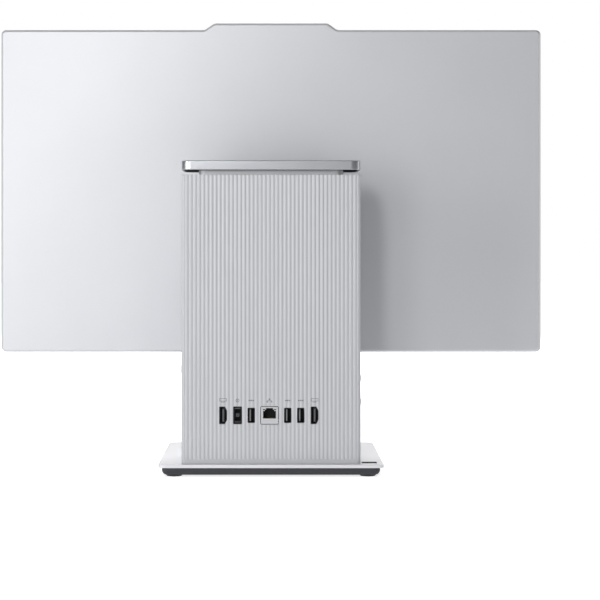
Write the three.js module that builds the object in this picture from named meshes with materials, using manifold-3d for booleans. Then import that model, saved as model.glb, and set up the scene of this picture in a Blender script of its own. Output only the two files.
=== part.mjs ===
// All-in-one desktop computer: a thin display hung by a tilt hinge from a box-shaped tower that holds the
// computer, on a flat weighted base.
//
// Part frame, in millimetres: +Z up, +X to the right of a person facing the screen, and the screen faces -Y.
// The origin is on the desk, under the middle of the base.

import * as THREE from "three";
import { mergeVertices } from "three/addons/utils/BufferGeometryUtils.js";
import Module from "manifold-3d";

const wasm = await Module();
wasm.setup();

// ---------------------------------------------------------------- driving dimensions

const FIT = 0.3; // air round a piece that sits in another
const SEAM = 0.1; // air between two faces that rest on each other
const OVERCUT = 1; // how far a cutting tool runs past the wall it cuts

// base
const BASE_WIDTH = 207.5;
const BASE_DEPTH = 176;
const BASE_CORNER = 6;
const PLATE_THICKNESS = 3.2;
const PLATE_CHAMFER = 0.7;
const TRAY_HEIGHT = 7.1;
const TRAY_INSET = 3.2;
const TRAY_ROUND = 4.8;
const TRAY_FLOOR = 1.8;
const TRAY_RIM = 6.5;
const FOOT_HEIGHT = 1.5;
const FOOT_SEAT = 0.8;
const FOOT_RADIUS = 8;
const FOOT_FLARE = 0.8;
const FOOT_INSET = 14.3;
const BADGE_WIDTH = 14;
const BADGE_DEPTH = 11;
const BADGE_HEIGHT = 0.4; // an inlay, flush with the plate
const BADGE_CORNER = 0.8;
const BADGE_FROM_SIDE = 5.8;
const BADGE_FROM_REAR = 10;

// tower
const TOWER_WIDTH = 165;
const TOWER_DEPTH = 84;
const TOWER_HEIGHT = 266.2;
const TOWER_SETBACK = 6; // from the rear edge of the base
const SHELL_WALL = 2.2;
const SHELL_CORNER = 10;
const COVER_WALL = 2.6;
const COVER_DEPTH = 8; // how far the rear cover wraps round the sides
const COVER_CORNER = 3;
const RIB_PITCH = 3.78;
const RIB_DEPTH = 0.9;
const RIB_MARGIN = 3.1;
const BAND_HEIGHT = 4.2; // plain strip under the ribs
const GRILLE_THICKNESS = 2;
const GRILLE_DROP = 0.5;
const VENT_WIDTH = 2.6;
const VENT_PITCH = 6;
const SIDE_VENT_LENGTH = 38;
const SIDE_VENT_ROWS = 9;

// computer board and what is on it
const BOARD_OFFSET = 20; // rear face of the tower to the board
const BOARD_THICKNESS = 1.6;
const BOARD_FOOT = 12;
const BOARD_SIDE_GAP = 2;
const BOARD_TO_FAN = 6;
const PROCESSOR_RAISE = 5; // above the middle of the board's clear part
const PROCESSOR = { width: 36, height: 30, thickness: 1.6 };
const SPREADER = { width: 42, height: 42, thickness: 2.6 };
const MEMORY = { width: 67.6, height: 30, thickness: 1.2, pitch: 9, fromEdge: 4.5, aboveFoot: 14 };
const SSD = { width: 42, height: 22, thickness: 0.8, lift: 4, aboveFoot: 18 };
const WIRELESS = { width: 30, height: 22, thickness: 0.8, lift: 3 };
const CHIP_THICKNESS = 1.4;
const CARD_GAP = 4;
const COIN_CELL_RADIUS = 10;
const COIN_CELL_THICKNESS = 3.2;
const HEAT_PIPE_THICKNESS = 2.6;
const HEAT_PIPE_WIDTH = 8;
const FIN_HEIGHT = 16;
const FIN_COUNT = 19;
const FIN_THICKNESS = 0.8;
const FIN_GAP = 1;
const PORT_ROW = 44.6; // height of the rear sockets above the base plate
const PORT_RECESS = 0.4;
const FAN_SIZE = 76;
const FAN_DEPTH = 16;
const FAN_ROTOR_RADIUS = 31;
const FAN_GAP = 2;
const FAN_BLADES = 11;
const CHASSIS_SHEET = 1.6;
const CHASSIS_GAP = 4;
const CHASSIS_HEADROOM = 12; // chassis top to tower top

// buttons in the sides
const BUTTON_TRAVEL = 0.8;
const BUTTON_PROUD = 0.9;
const BUTTON_FLANGE = 1.3;
const BUTTON_PLUNGER = 1;
const BUTTON_ROW_Y = -14.5;
const SIDE_PORT_Y = -16.6;
const SIDE_PORT_DEPTH = 14;
const SIDE_PORT_RECESS = 0.2;

// arm
const CAP_OVERHANG = 0.3; // cap past the tower, at each side
const CAP_DEPTH = 52;
const CAP_THICKNESS = 8.7;
const CAP_GAP = 4.4; // tower top to cap
const CAP_CORNER = 9;
const CAP_WALL = 2.5;
const CAP_EDGE = 0.8;
const UNDERSIDE_THICKNESS = 1.5;
const NECK_INSET = 15.5; // tower's side to the neck's
const NECK_SETBACK = 8;
const NECK_WALL = 3;
const NECK_CORNER = 6;
const ARM_SIDE_AIR = 19; // arm to the inside of the neck, at each side
const ARM_SHEET = 3;
const ARM_HEADROOM = 0.6; // arm to the underside of the cap's top
const SLEEVE_AIR = 8.4; // arm to the inside of its sleeve, at each side
const SLEEVE_WALL = 1.6;
const SLEEVE_DROP = 0.9; // how much thinner the sleeve is than the cap
const HINGE_PIN_RADIUS = 4;
const HINGE_RING_WALL = 2.5;
const HINGE_RING_WIDTH = 12;
const HINGE_RING_GAP = 0.8;
const HINGE_PIN_SPARE = 2; // pin past the outer rings, at each end
const HINGE_PLATE_MARGIN = 16;
const HINGE_PLATE_HEIGHT = 110;
const HINGE_PLATE_THICKNESS = 2;
const HINGE_TO_DISPLAY = 11; // pin axis to the display's back
const DISPLAY_STANDOFF = 139; // tower's rear face to the display's back

// display
const SCREEN_WIDTH = 527.04;
const SCREEN_HEIGHT = 296.46;
const BEZEL_SIDE = 7.9;
const BEZEL_TOP = 7.4;
const CHIN_HEIGHT = 20.2;
const DISPLAY_DROP = 180.5; // pin axis down to the display's lower edge
const DISPLAY_CORNER = 5;
const DISPLAY_DEPTH = 22;
const DISPLAY_WALL = 2.4;
const DISPLAY_BACK = 2;
const RIM = 2.1; // sloping edge round the back
const BEZEL_THICKNESS = 1.7;
const BUMP_HEIGHT = 6.7;
const BUMP_TOP_WIDTH = 113.9;
const BUMP_BASE_WIDTH = 133.8;
const MODULE_MARGIN = 3; // backlight tray past the lit screen, on each side
const TRAY_SHEET = 0.8;
const PANEL_THICKNESS = 2.4;
const GUIDE_THICKNESS = 3.6;
const HINGE_WINDOW_GAP = 1.5; // rings to the window's upper and lower edges
const HINGE_WINDOW_SIDE_GAP = 3;
const HINGE_TRIM_BORDER = 3;
const HINGE_TRIM_PROUD = 2.4;
const LENS_RADIUS = 2.8;
const SHUTTER_TRAVEL = 9;
const SHUTTER_BLADE_HALF_HEIGHT = 3.2;
const SHUTTER_TAB = [19, 25];
const SPEAKER_LENGTH = 90;
const SPEAKER_FROM_SIDE = 74;
const SPEAKER_SLOTS = 9;
const SPEAKER_SLOT_PITCH = 8;
const DISPLAY_BOARD = { width: 220, height: 30, thickness: 1.6, aboveBottom: 26.5 };

// ---------------------------------------------------------------- places worked out from them

const plateZ = FOOT_HEIGHT + TRAY_HEIGHT;
const towerZ = plateZ + PLATE_THICKNESS;
const capZ = towerZ + TOWER_HEIGHT + CAP_GAP;
const hingeZ = capZ + CAP_THICKNESS - CAP_WALL - ARM_HEADROOM - ARM_SHEET / 2;
const towerY = BASE_DEPTH / 2 - TOWER_SETBACK;
const displayBackY = towerY - DISPLAY_STANDOFF;
const hingeY = displayBackY + HINGE_TO_DISPLAY;
const innerHalfWidth = TOWER_WIDTH / 2 - SHELL_WALL;
const shellFrontInside = -TOWER_DEPTH + SHELL_WALL;
const capWidth = TOWER_WIDTH + 2 * CAP_OVERHANG;
const neckWidth = TOWER_WIDTH - 2 * NECK_INSET;
const neckDepth = CAP_DEPTH - NECK_SETBACK;
const armWidth = neckWidth - 2 * (NECK_WALL + ARM_SIDE_AIR);
const ringRadius = HINGE_PIN_RADIUS + HINGE_RING_WALL;
const pinHalf = armWidth / 2 + HINGE_RING_WIDTH + HINGE_PIN_SPARE;
const sleeveWidth = armWidth + 2 * (SLEEVE_WALL + SLEEVE_AIR);
const sleeveHeight = CAP_THICKNESS - SLEEVE_DROP;
const displayWidth = SCREEN_WIDTH + 2 * BEZEL_SIDE;
const displayHeight = SCREEN_HEIGHT + BEZEL_TOP + CHIN_HEIGHT;
const hingeWindowWidth = 2 * (pinHalf + HINGE_WINDOW_SIDE_GAP);
const hingeWindowHeight = 2 * (ringRadius + HINGE_WINDOW_GAP);
// The cooling hangs from the top of the chassis, and the board takes the height that is left under it.
const chassisTop = TOWER_HEIGHT - CHASSIS_HEADROOM;
const finTop = chassisTop - CHASSIS_SHEET - FIN_GAP;
const finBottom = finTop - FIN_HEIGHT;
const fanTop = finBottom - FIN_GAP;
const fanBottom = fanTop - FAN_SIZE;
const fanZ = (fanTop + fanBottom) / 2;
const boardTop = fanBottom - BOARD_TO_FAN;
const boardHalf = innerHalfWidth - BOARD_SIDE_GAP;
const memoryTop = BOARD_FOOT + MEMORY.aboveFoot + MEMORY.pitch + 1 + MEMORY.thickness / 2;
const processorZ = (memoryTop + boardTop) / 2 + PROCESSOR_RAISE;

// ---------------------------------------------------------------- materials

const paint = (color, roughness, metalness) => {
  return new THREE.MeshStandardMaterial({ color, roughness, metalness });
};
const silverPaint = paint(0xd3d4d8, 0.42, 0.35);
const silverPlastic = paint(0xc9cace, 0.5, 0.1);
const aluminium = paint(0xc4c6ca, 0.32, 0.9);
const pearlPaint = paint(0xe4e4e8, 0.4, 0.2);
const darkPlastic = paint(0x43444a, 0.6, 0);
const blackPlastic = paint(0x17181b, 0.45, 0);
const rubber = paint(0x2d2e33, 0.85, 0);
const steel = paint(0xa7a9ac, 0.35, 1);
const copper = paint(0xb9774a, 0.3, 1);
const circuitBoard = paint(0x17422c, 0.55, 0);
const chipBlack = paint(0x1b1c1f, 0.4, 0);
const screenGlass = paint(0x08090b, 0.08, 0);
const clearAcrylic = paint(0xe8eef2, 0.15, 0);

// ---------------------------------------------------------------- modelling helpers

// A closed mesh as a solid that can be cut and joined.
function solidFrom(geometry) {
  const bare = geometry.index ? geometry.toNonIndexed() : geometry.clone();
  bare.deleteAttribute("normal");
  bare.deleteAttribute("uv");
  const merged = mergeVertices(bare, 1e-4);
  return new wasm.Manifold(
    new wasm.Mesh({
      numProp: 3,
      vertProperties: merged.attributes.position.array,
      triVerts: new Uint32Array(merged.index.array),
    }),
  );
}

function geometryFrom(solid) {
  const { vertProperties, triVerts, numProp } = solid.getMesh();
  const count = vertProperties.length / numProp;
  const position = new Float32Array(count * 3);
  for (let i = 0; i < count; i++) position.set(vertProperties.subarray(i * numProp, i * numProp + 3), i * 3);
  const indexed = new THREE.BufferGeometry()
    .setAttribute("position", new THREE.BufferAttribute(position, 3))
    .setIndex(new THREE.BufferAttribute(triVerts, 1));
  const flat = indexed.toNonIndexed();
  flat.computeVertexNormals();
  return flat;
}

const cut = (body, tools) => geometryFrom(tools.reduce((s, t) => s.subtract(solidFrom(t)), solidFrom(body)));
const join = ([first, ...rest]) => geometryFrom(rest.reduce((s, p) => s.add(solidFrom(p)), solidFrom(first)));

// A box between two corners.
function block([x0, x1], [y0, y1], [z0, z1]) {
  const box = new THREE.BoxGeometry(x1 - x0, y1 - y0, z1 - z0);
  return box.translate((x0 + x1) / 2, (y0 + y1) / 2, (z0 + z1) / 2);
}

// A round bar along z, from z0 to z1.
function rod(radius, z0, z1, x = 0, y = 0, sides = 24, endRadius = radius) {
  return new THREE.CylinderGeometry(endRadius, radius, z1 - z0, sides)
    .rotateX(Math.PI / 2)
    .translate(x, y, (z0 + z1) / 2);
}

// A round bar along x, from x0 to x1.
function crossRod(radius, x0, x1, sides = 24) {
  const bar = new THREE.CylinderGeometry(radius, radius, x1 - x0, sides).rotateZ(Math.PI / 2);
  return bar.translate((x0 + x1) / 2, 0, 0);
}

// The points of a quarter or other arc, both ends included.
function arc(cx, cy, radius, from, to, steps) {
  return Array.from({ length: steps + 1 }, (_, i) => {
    const a = from + ((to - from) * i) / steps;
    return new THREE.Vector2(cx + radius * Math.cos(a), cy + radius * Math.sin(a));
  });
}

// A rectangle with round corners about the origin, as points, anticlockwise.
function roundRect(width, height, radius, steps = 5) {
  const r = Math.max(radius, 0.2);
  const x = width / 2 - r;
  const y = height / 2 - r;
  const q = Math.PI / 2;
  return [
    ...arc(x, y, r, 0, q, steps),
    ...arc(-x, y, r, q, 2 * q, steps),
    ...arc(-x, -y, r, 2 * q, 3 * q, steps),
    ...arc(x, -y, r, 3 * q, 4 * q, steps),
  ];
}

const circle = (radius) => arc(0, 0, radius, 0, 2 * Math.PI, 24).slice(1);

// A straight prism along z from a list of points.
function prism(points, z0, z1) {
  const shape = new THREE.Shape(points);
  return new THREE.ExtrudeGeometry(shape, { depth: z1 - z0, bevelEnabled: false }).translate(0, 0, z0);
}

// A prism whose outline steps in or out with height: outline(inset) gives as many points for every inset, and
// levels lists [height, inset] from the bottom up.
function layered(outline, levels) {
  const rings = levels.map(([, inset]) => outline(inset));
  const count = rings[0].length;
  const position = [];
  const point = (level, i) => {
    const { x, y } = rings[level][i % count];
    position.push(x, y, levels[level][0]);
  };
  for (let level = 0; level + 1 < levels.length; level++) {
    for (let i = 0; i < count; i++) {
      point(level, i);
      point(level, i + 1);
      point(level + 1, i + 1);
      point(level, i);
      point(level + 1, i + 1);
      point(level + 1, i);
    }
  }
  for (const level of [0, levels.length - 1]) {
    for (const face of THREE.ShapeUtils.triangulateShape(rings[level], [])) {
      const order = level === 0 ? [...face].reverse() : face;
      order.forEach((i) => point(level, i));
    }
  }
  return new THREE.BufferGeometry().setAttribute("position", new THREE.Float32BufferAttribute(position, 3));
}

function part(name, geometry, material, group) {
  const mesh = new THREE.Mesh(geometry, material);
  mesh.name = name;
  group.add(mesh);
  return mesh;
}

function frame(parent, position, rotation = [0, 0, 0]) {
  const group = new THREE.Group();
  group.position.set(...position);
  group.rotation.set(...rotation);
  group.updateMatrix();
  parent.add(group);
  return group;
}

// ---------------------------------------------------------------- frames

const computer = new THREE.Group();
// Tower: origin at the foot of the middle of its rear face.
const tower = frame(computer, [0, towerY, towerZ]);
// Rear sockets: x to the right of a person behind the tower, y up, z out of the rear face.
const rearSide = frame(tower, [0, 0, PORT_ROW], [Math.PI / 2, Math.PI, 0]);
// Sides: y up, z out of the side face.
const rightSide = frame(tower, [TOWER_WIDTH / 2, 0, 0], [Math.PI / 2, Math.PI / 2, 0]);
const leftSide = frame(tower, [-TOWER_WIDTH / 2, 0, 0], [Math.PI / 2, -Math.PI / 2, 0]);
// Arm: origin on the hinge axis.
const arm = frame(computer, [0, hingeY, hingeZ]);
// Display: origin on the hinge axis, x to the right, y up, z towards the viewer.
const display = frame(computer, [0, hingeY, hingeZ], [Math.PI / 2, 0, 0]);

// ---------------------------------------------------------------- base

function makeBase() {
  const outline = (inset) => {
    return roundRect(BASE_WIDTH - 2 * inset, BASE_DEPTH - 2 * inset, BASE_CORNER - inset, 8);
  };
  const trayLevels = Array.from({ length: 5 }, (_, i) => {
    const a = ((i / 4) * Math.PI) / 2;
    return [FOOT_HEIGHT + TRAY_ROUND * (1 - Math.cos(a)), TRAY_INSET + TRAY_ROUND * (1 - Math.sin(a))];
  });
  trayLevels.push([plateZ - SEAM, TRAY_INSET]);
  const pocketFloor = FOOT_HEIGHT + TRAY_FLOOR;
  const footX = BASE_WIDTH / 2 - FOOT_INSET;
  const footY = BASE_DEPTH / 2 - FOOT_INSET;
  const feet = [
    ["foot_front_left", -footX, -footY],
    ["foot_front_right", footX, -footY],
    ["foot_rear_left", -footX, footY],
    ["foot_rear_right", footX, footY],
  ];
  const seats = feet.map(([, x, y]) => rod(FOOT_RADIUS + FIT, 0, FOOT_HEIGHT + FOOT_SEAT + SEAM, x, y));
  const hollow = layered(outline, [
    [pocketFloor, TRAY_INSET + TRAY_RIM],
    [plateZ + OVERCUT, TRAY_INSET + TRAY_RIM],
  ]);
  part("base_tray", cut(layered(outline, trayLevels), [hollow, ...seats]), darkPlastic, computer);
  const weightInset = TRAY_INSET + TRAY_RIM + FIT;
  const weight = layered(outline, [
    [pocketFloor + SEAM, weightInset],
    [plateZ - 2 * SEAM, weightInset],
  ]);
  part("base_weight", weight, steel, computer);
  for (const [name, x, y] of feet) {
    const foot = rod(FOOT_RADIUS - FOOT_FLARE, 0, FOOT_HEIGHT + FOOT_SEAT, x, y, 24, FOOT_RADIUS);
    part(name, foot, rubber, computer);
  }
  const plate = layered(outline, [
    [plateZ, PLATE_CHAMFER / 2],
    [plateZ + PLATE_CHAMFER / 2, 0],
    [towerZ - PLATE_CHAMFER, 0],
    [towerZ, PLATE_CHAMFER],
  ]);
  const badgeX = -BASE_WIDTH / 2 + BADGE_FROM_SIDE + BADGE_WIDTH / 2;
  const badgeY = BASE_DEPTH / 2 - BADGE_FROM_REAR - BADGE_DEPTH / 2;
  const badgeFloor = towerZ - BADGE_HEIGHT;
  const badgeOutline = (grow) => roundRect(BADGE_WIDTH + 2 * grow, BADGE_DEPTH + 2 * grow, BADGE_CORNER, 3);
  const badgeSeat = prism(badgeOutline(FIT / 2), badgeFloor - SEAM, towerZ + OVERCUT);
  part("base_plate", cut(plate, [badgeSeat.translate(badgeX, badgeY, 0)]), pearlPaint, computer);
  const badge = prism(badgeOutline(0), badgeFloor, towerZ);
  part("base_badge", badge, darkPlastic, computer).position.set(badgeX, badgeY, 0);
}

// ---------------------------------------------------------------- sockets
// Each faces z, with its mouth at z = 0 and its back on the board.

// width lies across the row of sockets and height upright. The tongue is the blade that carries the contacts.

const SOCKETS = {
  screen: {
    shape: "d", width: 6.6, height: 15.6, wall: 0.6, depth: 9,
    tongue: { x: 0.1, width: 1.6, height: 12, back: 1.5 },
  },
  usb: {
    shape: "box", width: 6.2, height: 13.4, wall: 0.5, depth: 11,
    tongue: { x: -0.8, width: 1.8, height: 11.2, back: 1 },
  },
  power: {
    shape: "box", width: 7.6, height: 15.8, wall: 1.1, depth: 10,
    tongue: { x: 0, width: 1.8, height: 2.6, back: 2 },
  },
  smallUsb: {
    shape: "pill", width: 3.2, height: 9, wall: 0.3, depth: 7,
    tongue: { x: 0, width: 0.7, height: 6.6, back: 1 },
  },
  audio: { shape: "pill", width: 6, height: 6, wall: 1.2, depth: 12 },
  network: { shape: "network", width: 15.8, height: 15.6, depth: 13 },
};

// The mouth for a network plug: a wide body and over it a notch for the plug's latch.
const PLUG_BODY = { width: 11.8, height: 7, below: 2.9 };
const PLUG_LATCH = { width: 6.2, height: 2.6 };

// A socket's outline, shrunk on every side by an inset, or grown by a negative one.
function socketOutline({ shape, width, height }, inset) {
  const w = width - 2 * inset;
  const h = height - 2 * inset;
  if (shape === "pill") return roundRect(w, h, w / 2 - 0.01, 5);
  if (shape !== "d") return roundRect(w, h, 0.6, 2);
  // the D of a screen socket, its shorter side on the right
  const slantX = 0.3 * width;
  const slantY = 0.24 * height;
  return [
    [-w / 2, -h / 2],
    [w / 2 - slantX, -h / 2],
    [w / 2, slantY - h / 2],
    [w / 2, h / 2 - slantY],
    [w / 2 - slantX, h / 2],
    [-w / 2, h / 2],
  ].map(([x, y]) => new THREE.Vector2(x, y));
}

// A socket from its back face to its mouth at z = 0.
function socketSolid(socket, back) {
  const { shape, wall, depth, tongue } = socket;
  const body = prism(socketOutline(socket, 0), back, 0);
  if (shape === "network") {
    const bodyTop = PLUG_BODY.height - PLUG_BODY.below;
    const zs = [-depth, OVERCUT];
    return cut(body, [
      block([-PLUG_BODY.width / 2, PLUG_BODY.width / 2], [-PLUG_BODY.below, bodyTop], zs),
      block([-PLUG_LATCH.width / 2, PLUG_LATCH.width / 2], [0, bodyTop + PLUG_LATCH.height], zs),
    ]);
  }
  const shell = cut(body, [prism(socketOutline(socket, wall), -depth, OVERCUT)]);
  if (!tongue) return shell;
  const xs = [tongue.x - tongue.width / 2, tongue.x + tongue.width / 2];
  return join([shell, block(xs, [-tongue.height / 2, tongue.height / 2], [-depth - SEAM, -tongue.back])]);
}

const REAR_PORTS = [
  { name: "screen_in_port", kind: "screen", x: -44.1, material: blackPlastic },
  { name: "dc_jack", kind: "power", x: -30.8, material: blackPlastic },
  { name: "usb_port_1", kind: "usb", x: -18.2, material: blackPlastic },
  { name: "lan_port", kind: "network", x: -1.4, material: steel },
  { name: "usb_port_2", kind: "usb", x: 15.4, material: blackPlastic },
  { name: "usb_port_3", kind: "usb", x: 27.4, material: blackPlastic },
  { name: "screen_out_port", kind: "screen", x: 40.1, material: blackPlastic },
];

const RIGHT_PORTS = [
  { name: "audio_jack", kind: "audio", y: 73, material: blackPlastic },
  { name: "small_usb_port", kind: "smallUsb", y: 60.6, material: steel },
  { name: "side_usb_port", kind: "usb", y: 46.2, material: blackPlastic },
];

const BUTTONS = [
  { name: "power_button", side: rightSide, y: 86.3, radius: 4.2 },
  { name: "source_button", side: leftSide, y: 78, radius: 3 },
  { name: "brightness_button", side: leftSide, y: 56, radius: 3 },
];

const LOCK_SLOT = { y: 45.2, width: 3, height: 7 };

function makePorts() {
  const rearBack = -BOARD_OFFSET + FIT + PORT_RECESS;
  for (const { name, kind, x, material } of REAR_PORTS) {
    part(name, socketSolid(SOCKETS[kind], rearBack), material, rearSide).position.set(x, 0, -PORT_RECESS);
  }
  for (const { name, kind, y, material } of RIGHT_PORTS) {
    const socket = socketSolid(SOCKETS[kind], -SIDE_PORT_DEPTH);
    part(name, socket, material, rightSide).position.set(SIDE_PORT_Y, y, -SIDE_PORT_RECESS);
  }
}

// Holes through a wall in the tower's frame, for pieces placed in one of the side frames.
function holeThrough(side, points, x, y, depth) {
  return prism(points, -depth, OVERCUT).translate(x, y, 0).applyMatrix4(side.matrix);
}

// ---------------------------------------------------------------- tower casing

// Outline of the rear cover seen from above, with or without its ribs.
function coverOutline(ribbed) {
  const x = TOWER_WIDTH / 2;
  const r = COVER_CORNER;
  const front = -COVER_DEPTH + FIT;
  const q = Math.PI / 2;
  const points = [new THREE.Vector2(-x, front), ...arc(-x + r, -r, r, 2 * q, q, 4)];
  const count = Math.floor((TOWER_WIDTH - 2 * RIB_MARGIN) / RIB_PITCH);
  const start = (-count * RIB_PITCH) / 2;
  for (let i = 0; ribbed && i < count; i++) {
    const left = start + i * RIB_PITCH;
    points.push(new THREE.Vector2(left + 0.08 * RIB_PITCH, -RIB_DEPTH));
    points.push(new THREE.Vector2(left + 0.24 * RIB_PITCH, -0.28 * RIB_DEPTH));
    points.push(new THREE.Vector2(left + 0.5 * RIB_PITCH, 0));
    points.push(new THREE.Vector2(left + 0.76 * RIB_PITCH, -0.28 * RIB_DEPTH));
    points.push(new THREE.Vector2(left + 0.92 * RIB_PITCH, -RIB_DEPTH));
  }
  points.push(...arc(x - r, -r, r, q, 0, 4));
  points.push(new THREE.Vector2(x, front), new THREE.Vector2(x - SHELL_WALL, front));
  const inside = x - SHELL_WALL;
  points.push(new THREE.Vector2(inside, -COVER_WALL), new THREE.Vector2(-inside, -COVER_WALL));
  points.push(new THREE.Vector2(-inside, front));
  return points;
}

function makeRearCover() {
  const ribs = prism(coverOutline(true), BAND_HEIGHT, TOWER_HEIGHT);
  const band = prism(coverOutline(false), SEAM, BAND_HEIGHT + OVERCUT / 10);
  const holes = REAR_PORTS.map(({ kind, x }) => {
    return holeThrough(rearSide, socketOutline(SOCKETS[kind], -FIT), x, 0, COVER_WALL + OVERCUT);
  });
  part("rear_cover", cut(join([ribs, band]), holes), silverPlastic, tower);
}

function makeShell() {
  const x = TOWER_WIDTH / 2;
  const r = SHELL_CORNER;
  const w = SHELL_WALL;
  const front = -TOWER_DEPTH;
  const q = Math.PI / 2;
  const outline = [
    new THREE.Vector2(-x, -COVER_DEPTH),
    ...arc(-x + r, front + r, r, 2 * q, 3 * q, 6),
    ...arc(x - r, front + r, r, 3 * q, 4 * q, 6),
    new THREE.Vector2(x, -COVER_DEPTH),
    new THREE.Vector2(x - w, -COVER_DEPTH),
    ...arc(x - r, front + r, r - w, 4 * q, 3 * q, 6),
    ...arc(-x + r, front + r, r - w, 3 * q, 2 * q, 6),
    new THREE.Vector2(-x + w, -COVER_DEPTH),
  ];
  const depth = w + OVERCUT;
  const portHoles = RIGHT_PORTS.map(({ kind, y }) => {
    return holeThrough(rightSide, socketOutline(SOCKETS[kind], -FIT), SIDE_PORT_Y, y, depth);
  });
  const buttonHoles = BUTTONS.map(({ side, y, radius }) => {
    const across = side === rightSide ? BUTTON_ROW_Y : -BUTTON_ROW_Y;
    return holeThrough(side, circle(radius + FIT), across, y, depth);
  });
  const lock = holeThrough(
    leftSide, roundRect(LOCK_SLOT.width, LOCK_SLOT.height, 1, 3), -BUTTON_ROW_Y, LOCK_SLOT.y, depth,
  );
  // intake slots, level with the fan, in both side walls
  const ventRear = -BOARD_OFFSET - BOARD_THICKNESS - CARD_GAP;
  const ventFront = Math.max(ventRear - SIDE_VENT_LENGTH, front + r);
  const vents = Array.from({ length: SIDE_VENT_ROWS }, (_, i) => {
    const z = fanZ + (i - SIDE_VENT_ROWS / 2) * VENT_PITCH;
    return block([-x - OVERCUT, x + OVERCUT], [ventFront, ventRear], [z, z + VENT_WIDTH]);
  });
  const body = prism(outline, SEAM, TOWER_HEIGHT);
  part("tower_shell", cut(body, [...portHoles, ...buttonHoles, lock, ...vents]), silverPaint, tower);
}

const neckOutline = (inset) => {
  return roundRect(neckWidth - 2 * inset, neckDepth - 2 * inset, NECK_CORNER - inset, 5);
};
const neckMiddle = -NECK_SETBACK - neckDepth / 2;

function makeGrille() {
  const x = innerHalfWidth - FIT;
  const z1 = TOWER_HEIGHT - GRILLE_DROP;
  const r = SHELL_CORNER - SHELL_WALL;
  const rear = -COVER_WALL - FIT;
  const front = shellFrontInside + FIT;
  const q = Math.PI / 2;
  const outline = [
    new THREE.Vector2(x, rear),
    new THREE.Vector2(-x, rear),
    ...arc(-x + r, front + r, r, 2 * q, 3 * q, 5),
    ...arc(x - r, front + r, r, 3 * q, 4 * q, 5),
  ];
  const through = [z1 - GRILLE_THICKNESS - OVERCUT, z1 + OVERCUT];
  const opening = prism(neckOutline(-FIT), ...through).translate(0, neckMiddle, 0);
  const slotFront = front + 6;
  const slotRear = -NECK_SETBACK - neckDepth - 5;
  const count = Math.floor((2 * x - 2 * r) / VENT_PITCH);
  const slots = [];
  for (let i = 0; i < count && slotRear - slotFront > VENT_WIDTH; i++) {
    const left = (i - (count - 1) / 2) * VENT_PITCH - VENT_WIDTH / 2;
    slots.push(block([left, left + VENT_WIDTH], [slotFront, slotRear], through));
  }
  part("top_grille", cut(prism(outline, z1 - GRILLE_THICKNESS, z1), [opening, ...slots]), darkPlastic, tower);
}

// ---------------------------------------------------------------- inside the tower

const chassisY = shellFrontInside + CHASSIS_GAP;
const armFootRear = -NECK_SETBACK - neckDepth + NECK_WALL + ARM_SHEET + FIT;

// Steel frame, a C seen from the side, that carries the board and the arm.
function makeChassis() {
  const width = 2 * innerHalfWidth - 20;
  const t = CHASSIS_SHEET;
  const bottomRear = -BOARD_OFFSET - BOARD_THICKNESS - 2;
  const topRear = armFootRear + 4;
  const outline = [
    [chassisY, SEAM],
    [bottomRear, SEAM],
    [bottomRear, SEAM + t],
    [chassisY + t, SEAM + t],
    [chassisY + t, chassisTop - t],
    [topRear, chassisTop - t],
    [topRear, chassisTop],
    [chassisY, chassisTop],
  ].map(([y, z]) => new THREE.Vector2(y, z));
  const profile = prism(outline, -width / 2, width / 2).rotateY(Math.PI / 2).rotateX(Math.PI / 2);
  const windows = [-1, 1].map((side) => {
    const inner = side * (armWidth / 2 + 4);
    const outer = side * (width / 2 - 5);
    const xs = [Math.min(inner, outer), Math.max(inner, outer)];
    return block(xs, [chassisY + 6, topRear - 4], [chassisTop - t - OVERCUT, chassisTop + OVERCUT]);
  });
  part("chassis_frame", cut(profile, windows), steel, tower);
}

function makeBoard() {
  const rear = -BOARD_OFFSET;
  const sheet = block([-boardHalf, boardHalf], [rear - BOARD_THICKNESS, rear], [BOARD_FOOT, boardTop]);
  // a small switch behind each side button
  const switches = BUTTONS.map(({ side, y }) => {
    const face = innerHalfWidth - SEAM - BUTTON_FLANGE - BUTTON_PLUNGER - BUTTON_TRAVEL - FIT;
    const xs = side === rightSide ? [face - 6, face] : [-face, 6 - face];
    return block(xs, [rear - 0.5, BUTTON_ROW_Y + 2.5], [y - 2.5, y + 2.5]);
  });
  const holes = [-1, 1].flatMap((sx) => [BOARD_FOOT + 5, boardTop - 5].map((z) => {
    const hole = rod(1.6, -OVERCUT, BOARD_THICKNESS + OVERCUT, 0, 0, 10).rotateX(Math.PI / 2);
    return hole.translate(sx * (boardHalf - 5), rear, z);
  }));
  part("mainboard", cut(join([sheet, ...switches]), holes), circuitBoard, tower);
}

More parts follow.
